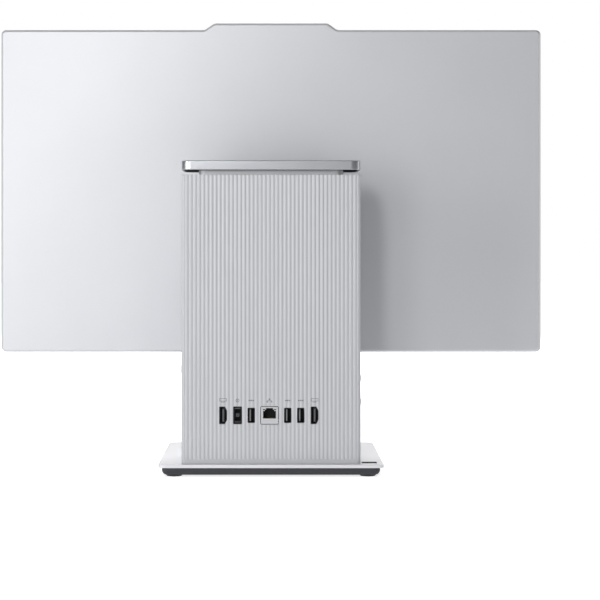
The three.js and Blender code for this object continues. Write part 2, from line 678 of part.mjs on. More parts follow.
// Pieces on the front of the board, each given by its middle, its size and how far it stands off.
function makeBoardParts() {
  const front = -BOARD_OFFSET - BOARD_THICKNESS - SEAM;
  const onBoard = (x, z, width, height, thickness, lift = 0) => {
    const ys = [front - lift - thickness, front - lift];
    return block([x - width / 2, x + width / 2], ys, [z - height / 2, z + height / 2]);
  };
  const chip = (x, z, width, height, lift) => onBoard(x, z, width, height, CHIP_THICKNESS, lift);
  part("cpu_package", onBoard(0, processorZ, ...Object.values(PROCESSOR)), chipBlack, tower);
  const spreaderLift = PROCESSOR.thickness + SEAM;
  part("heat_spreader", onBoard(0, processorZ, ...Object.values(SPREADER), spreaderLift), copper, tower);
  // memory cards stand edge-on to the board, chips on top
  const memoryX = -boardHalf + MEMORY.fromEdge + MEMORY.width / 2;
  for (const i of [0, 1]) {
    const z = BOARD_FOOT + MEMORY.aboveFoot + i * MEMORY.pitch;
    const card = onBoard(memoryX, z, MEMORY.width, MEMORY.thickness, MEMORY.height);
    const chips = [-24, -8, 8, 24].map((x) => onBoard(memoryX + x, z + 1, 12, MEMORY.thickness, 14, 8));
    part(`memory_module_${i + 1}`, join([card, ...chips]), circuitBoard, tower);
  }
  const ssdX = boardHalf - FIT - SSD.width / 2;
  const ssdZ = BOARD_FOOT + SSD.aboveFoot;
  const ssdCard = onBoard(ssdX, ssdZ, SSD.width, SSD.height, SSD.thickness, SSD.lift);
  const ssdChips = [-11, 11].map((x) => chip(ssdX + x, ssdZ, 15, 16, SSD.lift + SSD.thickness - SEAM));
  part("ssd_module", join([ssdCard, ...ssdChips]), circuitBoard, tower);
  const wirelessX = boardHalf - FIT - WIRELESS.width / 2;
  const wirelessZ = ssdZ + SSD.height / 2 + CARD_GAP + WIRELESS.height / 2;
  const wirelessCard = onBoard(wirelessX, wirelessZ, WIRELESS.width, WIRELESS.height, WIRELESS.thickness, WIRELESS.lift);
  const wirelessCan = chip(wirelessX, wirelessZ, 16, 16, WIRELESS.lift + WIRELESS.thickness - SEAM);
  part("wireless_card", join([wirelessCard, wirelessCan]), circuitBoard, tower);
  const cellZ = wirelessZ + WIRELESS.height / 2 + CARD_GAP + COIN_CELL_RADIUS;
  const cell = rod(COIN_CELL_RADIUS, 0, COIN_CELL_THICKNESS, 0, 0, 20).rotateX(Math.PI / 2);
  part("coin_cell", cell, steel, tower).position.set(wirelessX, front, cellZ);
}

// Blower above the board, its fins on top, and the heat pipe that joins them to the processor.
function makeCooling() {
  const spreaderFront = -BOARD_OFFSET - BOARD_THICKNESS - PROCESSOR.thickness - SPREADER.thickness - 2 * SEAM;
  const pipeY = spreaderFront - SEAM - HEAT_PIPE_THICKNESS / 2;
  const fanRear = pipeY + HEAT_PIPE_THICKNESS / 2;
  const fanFront = fanRear - FAN_DEPTH;
  const half = FAN_SIZE / 2;
  const wall = 1.5;
  // a round bar along y at the fan's middle, from its front to its rear
  const onAxis = (radius, rear, front, sides) => {
    return rod(radius, -rear, -front, 0, 0, sides).rotateX(Math.PI / 2).translate(0, 0, fanZ);
  };
  // housing: a box with a round well open to the front, and an outlet at the top
  const box = block([-half, half], [fanFront, fanRear], [fanBottom, fanTop]);
  const well = onAxis(FAN_ROTOR_RADIUS + FAN_GAP, fanRear - wall, fanFront - OVERCUT, 36);
  const outletXs = [-half + 2 * wall, half - 2 * wall];
  const outlet = block(outletXs, [fanFront + wall, fanRear - wall], [fanZ, fanTop + OVERCUT]);
  const axle = onAxis(1.5, fanRear - 1, fanFront + 3, 12);
  part("fan_housing", join([cut(box, [well, outlet]), axle]), blackPlastic, tower);
  const hub = onAxis(12, fanRear - 2 * wall, fanFront + 2, 24);
  const bladeYs = [fanFront + 2.5, fanRear - 3.5];
  const blades = Array.from({ length: FAN_BLADES }, (_, i) => {
    const blade = block([10, FAN_ROTOR_RADIUS - 0.5], bladeYs, [-3.6, -2.4]);
    return blade.rotateY((i / FAN_BLADES) * 2 * Math.PI).translate(0, 0, fanZ);
  });
  const bore = onAxis(1.5 + FIT, fanRear - 2, fanFront + 3 - FIT, 12);
  part("fan_rotor", cut(join([hub, ...blades]), [bore]), blackPlastic, tower);
  // fins, a comb seen from above
  const finRear = fanRear - HEAT_PIPE_THICKNESS - SEAM;
  const finFront = Math.max(fanFront, armFootRear + FIN_GAP);
  const back = block([-half, half], [finRear - 1, finRear], [finBottom, finTop]);
  const fins = Array.from({ length: FIN_COUNT }, (_, i) => {
    const x = -half + (i * (FAN_SIZE - FIN_THICKNESS)) / (FIN_COUNT - 1);
    return block([x, x + FIN_THICKNESS], [finFront, finRear - 0.5], [finBottom, finTop]);
  });
  part("heatsink_fins", join([back, ...fins]), aluminium, tower);
  makeHeatPipe(pipeY, half + HEAT_PIPE_WIDTH + FIN_GAP);
}

// Flattened pipe from the processor, round the side of the blower, to the fins.
function makeHeatPipe(y, side) {
  const finZ = (finBottom + finTop) / 2;
  const bend = 10;
  const path = new THREE.CatmullRomCurve3(
    [
      [-SPREADER.width / 2 + 5, processorZ],
      [bend, processorZ],
      [side - bend, processorZ + bend],
      [side, processorZ + 3 * bend],
      [side, fanZ],
      [side, fanTop - 2],
      [side - bend, finZ],
      [0, finZ],
      [-FAN_SIZE / 2 + 6, finZ],
    ].map(([x, z]) => new THREE.Vector3(x, y, z)),
  );
  const section = new THREE.Shape(
    Array.from({ length: 8 }, (_, i) => {
      const a = ((i + 0.5) * Math.PI) / 4;
      return new THREE.Vector2((HEAT_PIPE_THICKNESS / 2) * Math.cos(a), (HEAT_PIPE_WIDTH / 2) * Math.sin(a));
    }),
  );
  part("heat_pipe", new THREE.ExtrudeGeometry(section, { steps: 32, extrudePath: path }), copper, tower);
}

function makeButtons() {
  for (const { name, side, y, radius } of BUTTONS) {
    const flange = -SHELL_WALL - SEAM;
    const cap = layered(
      (inset) => circle(radius - inset),
      [
        [flange - 0.5, 0],
        [BUTTON_PROUD - 0.3, 0],
        [BUTTON_PROUD, 0.3],
      ],
    );
    const skirt = rod(radius + 0.9, flange - BUTTON_FLANGE, flange, 0, 0, 24);
    const plungerEnd = flange - BUTTON_FLANGE - BUTTON_PLUNGER;
    const plunger = rod(1.2, plungerEnd, flange - BUTTON_FLANGE / 2, 0, 0, 12);
    const across = side === rightSide ? BUTTON_ROW_Y : -BUTTON_ROW_Y;
    part(name, join([cap, skirt, plunger]), silverPlastic, side).position.set(across, y, 0);
  }
}

// ---------------------------------------------------------------- arm

function makeCap() {
  const outline = (inset) => roundRect(capWidth - 2 * inset, CAP_DEPTH - 2 * inset, CAP_CORNER - inset, 8);
  const body = layered(outline, [
    [0, CAP_EDGE],
    [CAP_EDGE, 0],
    [CAP_THICKNESS - CAP_EDGE, 0],
    [CAP_THICKNESS, CAP_EDGE],
  ]);
  const hollow = layered(outline, [
    [-OVERCUT, CAP_WALL],
    [CAP_THICKNESS - CAP_WALL, CAP_WALL],
  ]);
  const mouth = block(
    [-sleeveWidth / 2 - FIT, sleeveWidth / 2 + FIT],
    [-CAP_DEPTH / 2 - OVERCUT, -CAP_DEPTH / 2 + CAP_WALL + OVERCUT],
    [-OVERCUT, CAP_THICKNESS - CAP_EDGE],
  );
  const place = frame(computer, [0, towerY - CAP_DEPTH / 2, capZ]);
  part("arm_cap", cut(body, [hollow, mouth]), aluminium, place);
  const lid = layered(outline, [
    [SEAM, CAP_WALL + FIT],
    [UNDERSIDE_THICKNESS, CAP_WALL + FIT],
  ]);
  const neckY = neckMiddle + CAP_DEPTH / 2;
  const opening = prism(neckOutline(NECK_WALL), -OVERCUT, CAP_THICKNESS).translate(0, neckY, 0);
  const frontGap = block(
    [-sleeveWidth / 2 - FIT, sleeveWidth / 2 + FIT],
    [-CAP_DEPTH / 2, neckY],
    [-OVERCUT, CAP_THICKNESS],
  );
  part("cap_underside", cut(lid, [opening, frontGap]), darkPlastic, place);
}

function makeNeck() {
  const z0 = -CAP_GAP - 3;
  const ring = cut(prism(neckOutline(0), z0, -SEAM), [prism(neckOutline(NECK_WALL), z0 - OVERCUT, OVERCUT)]);
  part("neck_cover", ring, silverPaint, computer).position.set(0, towerY + neckMiddle, capZ);
}

// Steel arm, in the hinge frame: a foot on the chassis, a leg up through the neck, and a bar to the hinge.
function makeArm() {
  const toHinge = towerY - hingeY;
  const legRear = armFootRear + toHinge;
  const legFront = legRear - ARM_SHEET;
  const footFront = chassisY + 8 + toHinge;
  const footBottom = towerZ + chassisTop + SEAM - hingeZ;
  const half = ARM_SHEET / 2;
  const barFront = ringRadius - 2;
  const outline = [
    [footFront, footBottom],
    [legRear, footBottom],
    [legRear, half],
    [barFront, half],
    [barFront, -half],
    [legFront, -half],
    [legFront, footBottom + ARM_SHEET],
    [footFront, footBottom + ARM_SHEET],
  ].map(([y, z]) => new THREE.Vector2(y, z));
  const bar = prism(outline, -armWidth / 2, armWidth / 2).rotateY(Math.PI / 2).rotateX(Math.PI / 2);
  const lugs = [-1, 1].map((side) => {
    const xs = [side * (armWidth / 2 - HINGE_RING_WIDTH), (side * armWidth) / 2].sort((a, b) => a - b);
    return crossRod(ringRadius - 0.5, ...xs);
  });
  const bore = crossRod(HINGE_PIN_RADIUS + FIT / 2, -armWidth, armWidth);
  part("hinge_arm", cut(join([bar, ...lugs]), [bore]), steel, arm);
  part("hinge_pin", crossRod(HINGE_PIN_RADIUS, -pinHalf, pinHalf), steel, arm);
  // sleeve round the bar, from the cap to the hinge
  const sleeveFront = ringRadius + 2.5;
  const sleeveRear = toHinge - CAP_DEPTH - SEAM;
  const section = roundRect(sleeveWidth, sleeveHeight, 2, 3);
  const inside = roundRect(sleeveWidth - 2 * SLEEVE_WALL, sleeveHeight - 2 * SLEEVE_WALL, 1, 3);
  const sleeve = cut(prism(section, sleeveFront, sleeveRear), [
    prism(inside, sleeveFront - OVERCUT, sleeveRear + OVERCUT),
  ]);
  part("arm_sleeve", sleeve.rotateX(-Math.PI / 2), aluminium, arm);
}

// ---------------------------------------------------------------- display
// In the display's frame: x to the right, y up, z towards the viewer, origin on the hinge axis.

const backZ = HINGE_TO_DISPLAY;
const frontZ = backZ + DISPLAY_DEPTH;
const coverFrontZ = frontZ - BEZEL_THICKNESS - SEAM;
const bottomY = -DISPLAY_DROP;
const topY = bottomY + displayHeight;
const screenBottom = bottomY + CHIN_HEIGHT;
const screenTop = screenBottom + SCREEN_HEIGHT;
const lensY = topY + BUMP_HEIGHT - DISPLAY_WALL - FIT - SEAM - SHUTTER_BLADE_HALF_HEIGHT;

// Outline of the display with the camera bump on its upper edge.
function displayOutline(inset) {
  const r = Math.max(DISPLAY_CORNER - inset, 0.3);
  const x = displayWidth / 2 - inset - r;
  const y0 = bottomY + inset + r;
  const y1 = topY - inset - r;
  const q = Math.PI / 2;
  const run = (BUMP_BASE_WIDTH - BUMP_TOP_WIDTH) / 2;
  const slope = Math.hypot(run, BUMP_HEIGHT);
  const shift = (inset * (1 - run / slope)) / (BUMP_HEIGHT / slope);
  const baseX = BUMP_BASE_WIDTH / 2 - shift;
  const peakX = BUMP_TOP_WIDTH / 2 - shift;
  const edge = topY - inset;
  return [
    ...arc(-x, y0, r, 2 * q, 3 * q, 5),
    ...arc(x, y0, r, 3 * q, 4 * q, 5),
    ...arc(x, y1, r, 0, q, 5),
    new THREE.Vector2(baseX, edge),
    new THREE.Vector2(peakX, edge + BUMP_HEIGHT),
    new THREE.Vector2(-peakX, edge + BUMP_HEIGHT),
    new THREE.Vector2(-baseX, edge),
    ...arc(-x, y1, r, q, 2 * q, 5),
  ];
}

function makeDisplayCover() {
  const body = layered(displayOutline, [
    [backZ, RIM],
    [backZ + RIM, 0],
    [coverFrontZ, 0],
  ]);
  const hollow = layered(displayOutline, [
    [backZ + DISPLAY_BACK, DISPLAY_WALL],
    [coverFrontZ + OVERCUT, DISPLAY_WALL],
  ]);
  const window = block(
    [-hingeWindowWidth / 2, hingeWindowWidth / 2],
    [-hingeWindowHeight / 2, hingeWindowHeight / 2],
    [backZ - OVERCUT, backZ + DISPLAY_BACK + OVERCUT],
  );
  // sound slots in the lower edge
  const slots = [-1, 1].flatMap((side) => Array.from({ length: SPEAKER_SLOTS }, (_, i) => {
    const x = side * speakerX + (i - (SPEAKER_SLOTS - 1) / 2) * SPEAKER_SLOT_PITCH;
    const ys = [bottomY - OVERCUT, bottomY + DISPLAY_WALL + OVERCUT];
    return block([x - 1.5, x + 1.5], ys, [backZ + 6, backZ + 12]);
  }));
  part("display_rear_cover", cut(body, [hollow, window, ...slots]), silverPaint, display);
}

function makeHingeTrim() {
  const w = hingeWindowWidth;
  const h = hingeWindowHeight;
  const border = HINGE_TRIM_BORDER;
  const outline = (inset) => roundRect(w + 2 * (border - inset), h + 2 * (border - inset), border - inset, 4);
  const ring = layered(outline, [
    [backZ - HINGE_TRIM_PROUD, HINGE_TRIM_PROUD / 2],
    [backZ - HINGE_TRIM_PROUD / 2, 0],
    [backZ - SEAM, 0],
  ]);
  const through = [backZ - HINGE_TRIM_PROUD - OVERCUT, backZ + OVERCUT];
  const window = block([-w / 2, w / 2], [-h / 2, h / 2], through);
  part("hinge_trim", cut(ring, [window]), silverPlastic, display);
}

// Steel plate inside the display with the two rings that turn on the pin.
function makeHingePlate() {
  const z0 = backZ + DISPLAY_BACK + FIT;
  const plateHalf = pinHalf + HINGE_PLATE_MARGIN;
  const plateYs = [-HINGE_PLATE_HEIGHT / 2, HINGE_PLATE_HEIGHT / 2];
  const plate = block([-plateHalf, plateHalf], plateYs, [z0, z0 + HINGE_PLATE_THICKNESS]);
  const rings = [];
  const bores = [];
  for (const side of [-1, 1]) {
    const inner = armWidth / 2 + HINGE_RING_GAP;
    const xs = [side * inner, side * (inner + HINGE_RING_WIDTH)].sort((a, b) => a - b);
    const webHalf = ringRadius - 1.5;
    rings.push(crossRod(ringRadius, ...xs), block(xs, [-webHalf, webHalf], [HINGE_PIN_RADIUS, z0 + 1]));
    bores.push(crossRod(HINGE_PIN_RADIUS + FIT, xs[0] - OVERCUT, xs[1] + OVERCUT));
  }
  part("hinge_plate", cut(join([plate, ...rings]), bores), steel, display);
}

const moduleHalf = SCREEN_WIDTH / 2 + MODULE_MARGIN;
const moduleBottom = screenBottom - MODULE_MARGIN - 1.5;
const moduleTop = screenTop + MODULE_MARGIN;
const panelBack = coverFrontZ - PANEL_THICKNESS;
const guideBack = panelBack - SEAM - GUIDE_THICKNESS;
const trayBack = guideBack - SEAM - TRAY_SHEET;
const speakerX = displayWidth / 2 - SPEAKER_FROM_SIDE - SPEAKER_LENGTH / 2;

function makeScreen() {
  const inner = TRAY_SHEET + FIT;
  const xs = [-moduleHalf, moduleHalf];
  const ys = [moduleBottom, moduleTop];
  const tray = block(xs, ys, [trayBack, coverFrontZ - FIT]);
  const well = block(
    [-moduleHalf + TRAY_SHEET, moduleHalf - TRAY_SHEET],
    [moduleBottom + TRAY_SHEET, moduleTop - TRAY_SHEET],
    [trayBack + TRAY_SHEET, frontZ],
  );
  part("backlight_tray", cut(tray, [well]), steel, display);
  const innerXs = [-moduleHalf + inner, moduleHalf - inner];
  const innerYs = [moduleBottom + inner, moduleTop - inner];
  const guide = block(innerXs, innerYs, [guideBack, guideBack + GUIDE_THICKNESS]);
  part("light_guide", guide, clearAcrylic, display);
  const panel = block(innerXs, innerYs, [panelBack, panelBack + PANEL_THICKNESS]);
  part("lcd_panel", panel, screenGlass, display);
}

function makeBezel() {
  const z0 = frontZ - BEZEL_THICKNESS;
  const body = layered(displayOutline, [
    [z0, 0],
    [frontZ - 0.4, 0],
    [frontZ, 0.4],
  ]);
  const half = SCREEN_WIDTH / 2;
  const window = block([-half, half], [screenBottom, screenTop], [z0 - OVERCUT, frontZ + OVERCUT]);
  const through = [z0 - OVERCUT, frontZ + OVERCUT];
  const below = block([-displayWidth, displayWidth], [bottomY - OVERCUT, screenBottom + SEAM], through);
  const lens = rod(LENS_RADIUS, z0 - OVERCUT, frontZ + OVERCUT, 0, lensY, 20);
  const [tabLeft, tabRight] = SHUTTER_TAB;
  const slot = block(
    [tabLeft - SHUTTER_TRAVEL - FIT, tabRight + FIT],
    [lensY - 0.8 - FIT, lensY + 0.8 + FIT],
    [z0 - OVERCUT, frontZ + OVERCUT],
  );
  part("front_bezel", cut(body, [window, below, lens, slot]), blackPlastic, display);
  const aboveYs = [screenBottom - SEAM, topY + BUMP_HEIGHT + OVERCUT];
  const chinTop = block([-displayWidth, displayWidth], aboveYs, through);
  part("chin_cover", cut(body, [chinTop]), silverPaint, display);
}

function makeCamera() {
  const boardZ = trayBack - 1;
  const card = block([-44, 44], [lensY - 3, lensY + 3], [boardZ - 1.2, boardZ]);
  const barrel = rod(LENS_RADIUS - 0.3, boardZ - 0.5, coverFrontZ - 2.2, 0, lensY, 16);
  part("camera_module", join([card, barrel]), chipBlack, display);
  const bladeXs = [LENS_RADIUS + 2.2, SHUTTER_TAB[1] + 1];
  const bladeYs = [lensY - SHUTTER_BLADE_HALF_HEIGHT, lensY + SHUTTER_BLADE_HALF_HEIGHT];
  const blade = block(bladeXs, bladeYs, [coverFrontZ - 1, coverFrontZ - FIT]);
  const tab = block(SHUTTER_TAB, [lensY - 0.8, lensY + 0.8], [coverFrontZ - 0.6, frontZ + 0.7]);
  part("camera_shutter", join([blade, tab]), blackPlastic, display);
}

function makeDisplayElectronics() {
  const z1 = trayBack - 0.5;
  const { width, height, thickness, aboveBottom } = DISPLAY_BOARD;
  const y0 = bottomY + aboveBottom;
  const chips = [-70, 0, 60].map((x) => {
    const zs = [z1 - thickness - CHIP_THICKNESS, z1 - thickness + SEAM];
    return block([x - 10, x + 10], [y0 + 8, y0 + 22], zs);
  });
  const sheet = block([-width / 2, width / 2], [y0, y0 + height], [z1 - thickness, z1]);
  part("display_board", join([sheet, ...chips]), circuitBoard, display);
  for (const [name, side] of [["speaker_left", -1], ["speaker_right", 1]]) {
    const x = side * speakerX;
    const ys = [bottomY + DISPLAY_WALL + FIT, moduleBottom - FIT];
    const zs = [backZ + DISPLAY_BACK + FIT, coverFrontZ - 2];
    part(name, block([x - SPEAKER_LENGTH / 2, x + SPEAKER_LENGTH / 2], ys, zs), blackPlastic, display);
  }
}

// ---------------------------------------------------------------- assembly

makeBase();
makePorts();
makeRearCover();
makeShell();
makeGrille();
makeChassis();
makeBoard();
makeBoardParts();
makeCooling();
makeButtons();
makeCap();
makeNeck();
makeArm();
makeDisplayCover();
makeHingeTrim();
makeHingePlate();
makeScreen();
makeBezel();
makeCamera();
makeDisplayElectronics();

export default computer;
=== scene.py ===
# %% [markdown]
# # An all-in-one desktop computer, seen from behind
# A thin silver display hangs by a tilt hinge from a box-shaped tower. The tower holds the computer, its rear
# face is ribbed from top to bottom, and it stands on a flat plate over a dark tray with four rubber feet.
# The fixed frame below carries every place and size. This lesson dresses it: new meshes where a softer edge
# or more detail is wanted, and a procedural finish on everything.

import math

import bmesh
import bpy
from mathutils import Matrix, Vector


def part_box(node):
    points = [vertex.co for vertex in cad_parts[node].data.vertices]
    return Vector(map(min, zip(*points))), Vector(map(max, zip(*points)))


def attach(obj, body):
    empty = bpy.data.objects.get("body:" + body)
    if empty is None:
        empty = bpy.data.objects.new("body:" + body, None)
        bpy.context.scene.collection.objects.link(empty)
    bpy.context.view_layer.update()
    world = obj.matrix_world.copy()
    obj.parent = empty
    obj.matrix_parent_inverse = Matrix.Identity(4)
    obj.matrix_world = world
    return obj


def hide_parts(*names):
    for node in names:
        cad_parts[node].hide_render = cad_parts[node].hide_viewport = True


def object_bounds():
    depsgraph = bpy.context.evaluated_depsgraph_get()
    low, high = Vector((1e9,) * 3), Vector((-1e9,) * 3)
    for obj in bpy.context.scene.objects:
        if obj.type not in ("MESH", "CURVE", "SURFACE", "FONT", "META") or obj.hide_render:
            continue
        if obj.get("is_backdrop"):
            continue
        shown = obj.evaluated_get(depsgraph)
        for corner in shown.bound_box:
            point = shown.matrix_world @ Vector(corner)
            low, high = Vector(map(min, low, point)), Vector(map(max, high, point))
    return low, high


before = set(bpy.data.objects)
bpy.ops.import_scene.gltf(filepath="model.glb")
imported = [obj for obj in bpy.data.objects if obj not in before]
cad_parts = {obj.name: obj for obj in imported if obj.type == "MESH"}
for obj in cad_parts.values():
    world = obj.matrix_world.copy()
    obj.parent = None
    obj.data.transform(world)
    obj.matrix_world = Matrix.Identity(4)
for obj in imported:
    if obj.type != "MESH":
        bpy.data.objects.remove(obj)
cad_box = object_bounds()

# %% [markdown]
# ## Working in millimetres
# Casings are drawn in millimetres, and Blender counts in metres. So each mesh is modelled in millimetres and
# shrunk once, when it becomes a piece. The places come from the frame's own boxes, so a piece always fits
# the part that it stands for.

# %% Places and sizes
MM = 0.001


def span(node):
    """Lowest and highest corner of a frame part, in millimetres."""
    low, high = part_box(node)
    return low / MM, high / MM


def centre(node):
    """The middle of a frame part, in millimetres."""
    return sum(span(node), Vector()) / 2


cover_low, cover_high = span("display_rear_cover")
bezel_low, bezel_high = span("front_bezel")
rear_low, rear_high = span("rear_cover")
shell_low, shell_high = span("tower_shell")
print("display", [round(x, 1) for x in cover_high - cover_low], "mm")
print("tower", round(rear_high.z - rear_low.z, 1), "mm tall")

# %% [markdown]
# ## Small modelling tools
# Nearly every piece here is a moulded or pressed casing: a block, with corners rounded by the mould, hollowed
# from inside and pierced for sockets. A few tools cover that: add a block, round the edges that pass a
# test, slice a corner off, and cut other solids out. Bevels keep the block's flat faces truly flat, which
# a subdivided shape would not.

# %% Blocks, rounded edges and slices


def block(low, high, bm=None):
    """A solid box between two corners, in a mesh of its own or added to bm."""
    bm = bm or bmesh.new()
    low, high = Vector(low), Vector(high)
    place = Matrix.Translation((low + high) / 2) @ Matrix.Diagonal((*(high - low), 1))
    bmesh.ops.create_cube(bm, size=1, matrix=place)
    return bm


def like(node, low_by=(0, 0, 0), high_by=(0, 0, 0)):
    """A block of a frame part's size, with its lowest and highest corner moved by these."""
    low, high = span(node)
    return block(low + Vector(low_by), high + Vector(high_by))


def rod(radius, length, place, bm=None, sides=48):
    """A round bar along Z, moved to a place, in a mesh of its own or added to bm."""
    bm = bm or bmesh.new()
    bmesh.ops.create_cone(
        bm, cap_ends=True, segments=sides, radius1=radius, radius2=radius, depth=length, matrix=place,
    )
    return bm


def round_off(bm, edges, width, segments):
    """Rounds these edges."""
    bmesh.ops.bevel(
        bm, geom=edges, offset=width, offset_type="OFFSET", affect="EDGES",
        segments=segments, profile=0.5, material=-1, clamp_overlap=True,
    )
    return bm


def soften(bm, width, segments, chosen):
    """Rounds each edge for which chosen(its middle, its direction) is true."""
    picked = []
    for edge in bm.edges:
        a, b = (v.co for v in edge.verts)
        if chosen((a + b) / 2, (b - a).normalized()):
            picked.append(edge)
    return round_off(bm, picked, width, segments)


def split(bm, point, normal, **how):
    """Cuts a mesh's faces along a plane."""
    return bmesh.ops.bisect_plane(
        bm, geom=bm.verts[:] + bm.edges[:] + bm.faces[:], plane_co=point, plane_no=normal, **how,
    )


def slice_off(bm, point, normal):
    """Removes what lies past a plane and closes the cut."""
    cut = split(bm, point, normal, clear_outer=True)
    rim = [part for part in cut["geom_cut"] if isinstance(part, bmesh.types.BMEdge)]
    bmesh.ops.edgeloop_fill(bm, edges=rim)
    bmesh.ops.recalc_face_normals(bm, faces=bm.faces)
    return bm


print("tools: block, like, rod, round_off, soften, split, slice_off")

# %% [markdown]
# The edges to round are picked by a test of each edge's middle and direction. These tests serve often.

# %% Tests that pick edges


def upright(middle, direction):
    return abs(direction.z) > 0.99


def along_x(middle, direction):
    return abs(direction.x) > 0.99


def along_y(middle, direction):
    return abs(direction.y) > 0.99


def every(middle, direction):
    return True


def end_of(bm, axis, way):
    """Chooses the edges in a solid's outermost plane, up an axis if way is 1 and down it if -1."""
    reach = max(way * vert.co[axis] for vert in bm.verts)
    return lambda middle, direction: way * middle[axis] > reach - 0.001


Y, Z = 1, 2
print("tests: upright, along_x, along_y, every, end_of")

# %% Cutting solids out of solids


def as_object(bm, name):
    mesh = bpy.data.meshes.new(name)
    bm.to_mesh(mesh)
    thing = bpy.data.objects.new(name, mesh)
    bpy.context.scene.collection.objects.link(thing)
    return thing


def combine(bm, tools, operation="DIFFERENCE"):
    """Cuts each tool out of a solid, or joins it on. The tools are used up."""
    things = [as_object(bm, "solid")]
    for tool in tools:
        things.append(as_object(tool, "tool"))
        step = things[0].modifiers.new("step", "BOOLEAN")
        step.operation, step.solver, step.object = operation, "MANIFOLD", things[-1]
        tool.free()
    bpy.context.view_layer.update()
    shaped = things[0].evaluated_get(bpy.context.evaluated_depsgraph_get())
    bm.clear()
    bm.from_mesh(shaped.to_mesh())
    shaped.to_mesh_clear()
    for thing in things:
        mesh = thing.data
        bpy.data.objects.remove(thing)
        bpy.data.meshes.remove(mesh)
    return bm


print("tools: combine")

# %% [markdown]
# A mesh becomes a piece of the object in one step: shrink it to metres, shade it smooth except where two
# faces meet at a real corner, give it a finish, and say which body of the frame it rides on. A Weighted
# Normal modifier keeps the light on a flat face even right up to its rounded edge.

# %% From mesh to piece


def piece(name, bm, finish, body, replaces=(), corner=38):
    """A finished mesh, in millimetres, as a piece that rides on a body."""
    bmesh.ops.remove_doubles(bm, verts=bm.verts, dist=0.0005)
    bmesh.ops.scale(bm, verts=bm.verts, vec=(MM, MM, MM))
    for face in bm.faces:
        face.smooth = True
    for edge in bm.edges:
        if edge.is_manifold:
            edge.smooth = edge.calc_face_angle() < math.radians(corner)
    loose = sum(not edge.is_manifold for edge in bm.edges)
    volume = bm.calc_volume(signed=True) / MM**3 / 1000
    faces = len(bm.faces)
    thing = as_object(bm, name)
    bm.free()
    thing.data.materials.append(finish.material)
    thing.modifiers.new("even normals", "WEIGHTED_NORMAL").keep_sharp = True
    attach(thing, body)
    if replaces:
        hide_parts(*replaces)
    print(f"{name}: {faces} faces, {loose} loose edges, {volume:.2f} cm3")
    return thing


print("tools: piece")

# %% [markdown]
# ## Writing finishes as sums
# A finish is a small network of nodes. Written out link by link it hides its meaning, so a value that
# changes over the surface is wrapped here in a class with the usual operators: `0.4 + 0.1 * grain` then adds
# the Math nodes itself. One method, `node`, makes every other kind of node.

# %% The Value and Finish classes


def rgb(red, green, blue):
    """A screen colour, 0 to 255, as the linear colour that shaders use."""
    linear = [((c / 255 + 0.055) / 1.055) ** 2.4 if c > 10 else c / 3295 for c in (red, green, blue)]
    return (*linear, 1.0)


def math_node(operation, swap=False):
    """A method that does one sum with a Math node."""

    def method(self, *others):
        numbers = (*others, self) if swap else (self, *others)
        return self.finish.node("ShaderNodeMath", {"operation": operation}, dict(enumerate(numbers)))

    return method


class Value:
    """A number that changes over a surface, ready for sums."""

    def __init__(self, finish, socket):
        self.finish, self.socket = finish, socket

    __add__ = __radd__ = math_node("ADD")
    __mul__ = __rmul__ = math_node("MULTIPLY")
    __sub__, __rsub__ = math_node("SUBTRACT"), math_node("SUBTRACT", swap=True)
    __truediv__, __abs__ = math_node("DIVIDE"), math_node("ABSOLUTE")
    __lt__, __gt__ = math_node("LESS_THAN"), math_node("GREATER_THAN")
    least, most = math_node("MINIMUM"), math_node("MAXIMUM")
    floor, fraction, root = math_node("FLOOR"), math_node("FRACT"), math_node("SQRT")


class Finish:
    """A material under construction, around one Principled shader."""

    def __init__(self, name, **fixed):
        self.material = bpy.data.materials.new(name)
        self.material.use_nodes = True
        self.tree = self.material.node_tree
        self.shader = self.tree.nodes["Principled BSDF"]
        for socket, number in fixed.items():
            self.shader.inputs[socket.replace("_", " ")].default_value = number
        self.place = self.node("ShaderNodeTexCoord", out="Object")

    def feed(self, socket, value):
        if isinstance(value, Value):
            self.tree.links.new(value.socket, socket)
        else:
            socket.default_value = value

    def node(self, kind, settings=None, inputs=None, out=0):
        made = self.tree.nodes.new(kind)
        for setting, choice in (settings or {}).items():
            setattr(made, setting, choice)
        for socket, value in (inputs or {}).items():
            self.feed(made.inputs[socket], value)
        return Value(self, made.outputs[out])

    def axes(self):
        """The place on the piece as three values, in millimetres."""
        split = self.node("ShaderNodeSeparateXYZ", inputs={0: self.place}).socket.node
        return [Value(self, socket) * 1000 for socket in split.outputs]

    def noise(self, size, detail=2.0, stretch=(1, 1, 1)):
        """Soft random cells about size millimetres across, from 0 to 1."""
        mapped = self.node("ShaderNodeMapping", inputs={"Vector": self.place, "Scale": stretch})
        return self.node(
            "ShaderNodeTexNoise", inputs={"Vector": mapped, "Scale": 1000 / size, "Detail": detail},
        )

    def mix(self, share, first, second):
        """A colour between two colours."""
        return self.node("ShaderNodeMix", {"data_type": "RGBA"}, {0: share, 6: first, 7: second}, out=2)

    def bump(self, height, depth):
        """A normal from a height, 0 to 1, that stands for depth in millimetres."""
        return self.node("ShaderNodeBump", inputs={"Height": height, "Distance": depth * MM})

    def lay(self, **sockets):
        for socket, value in sockets.items():
            self.feed(self.shader.inputs[socket.replace("_", " ")], value)
        return self


print("a finish is ready to be written")

# %% [markdown]
# ## Painted and moulded silver
# Three silvers make up the casing. The display's back and the tower's sides have a satin paint with fine
# metal flake: each flake tilts a little, so tiny spots differ in colour and gloss, and the paint's skin is
# not quite level. The ribbed cover is moulded in a silver plastic with an even, fine grain. The base plate
# has a paler pearl paint. One recipe serves all three, with the numbers changed.

# %% Silver finishes


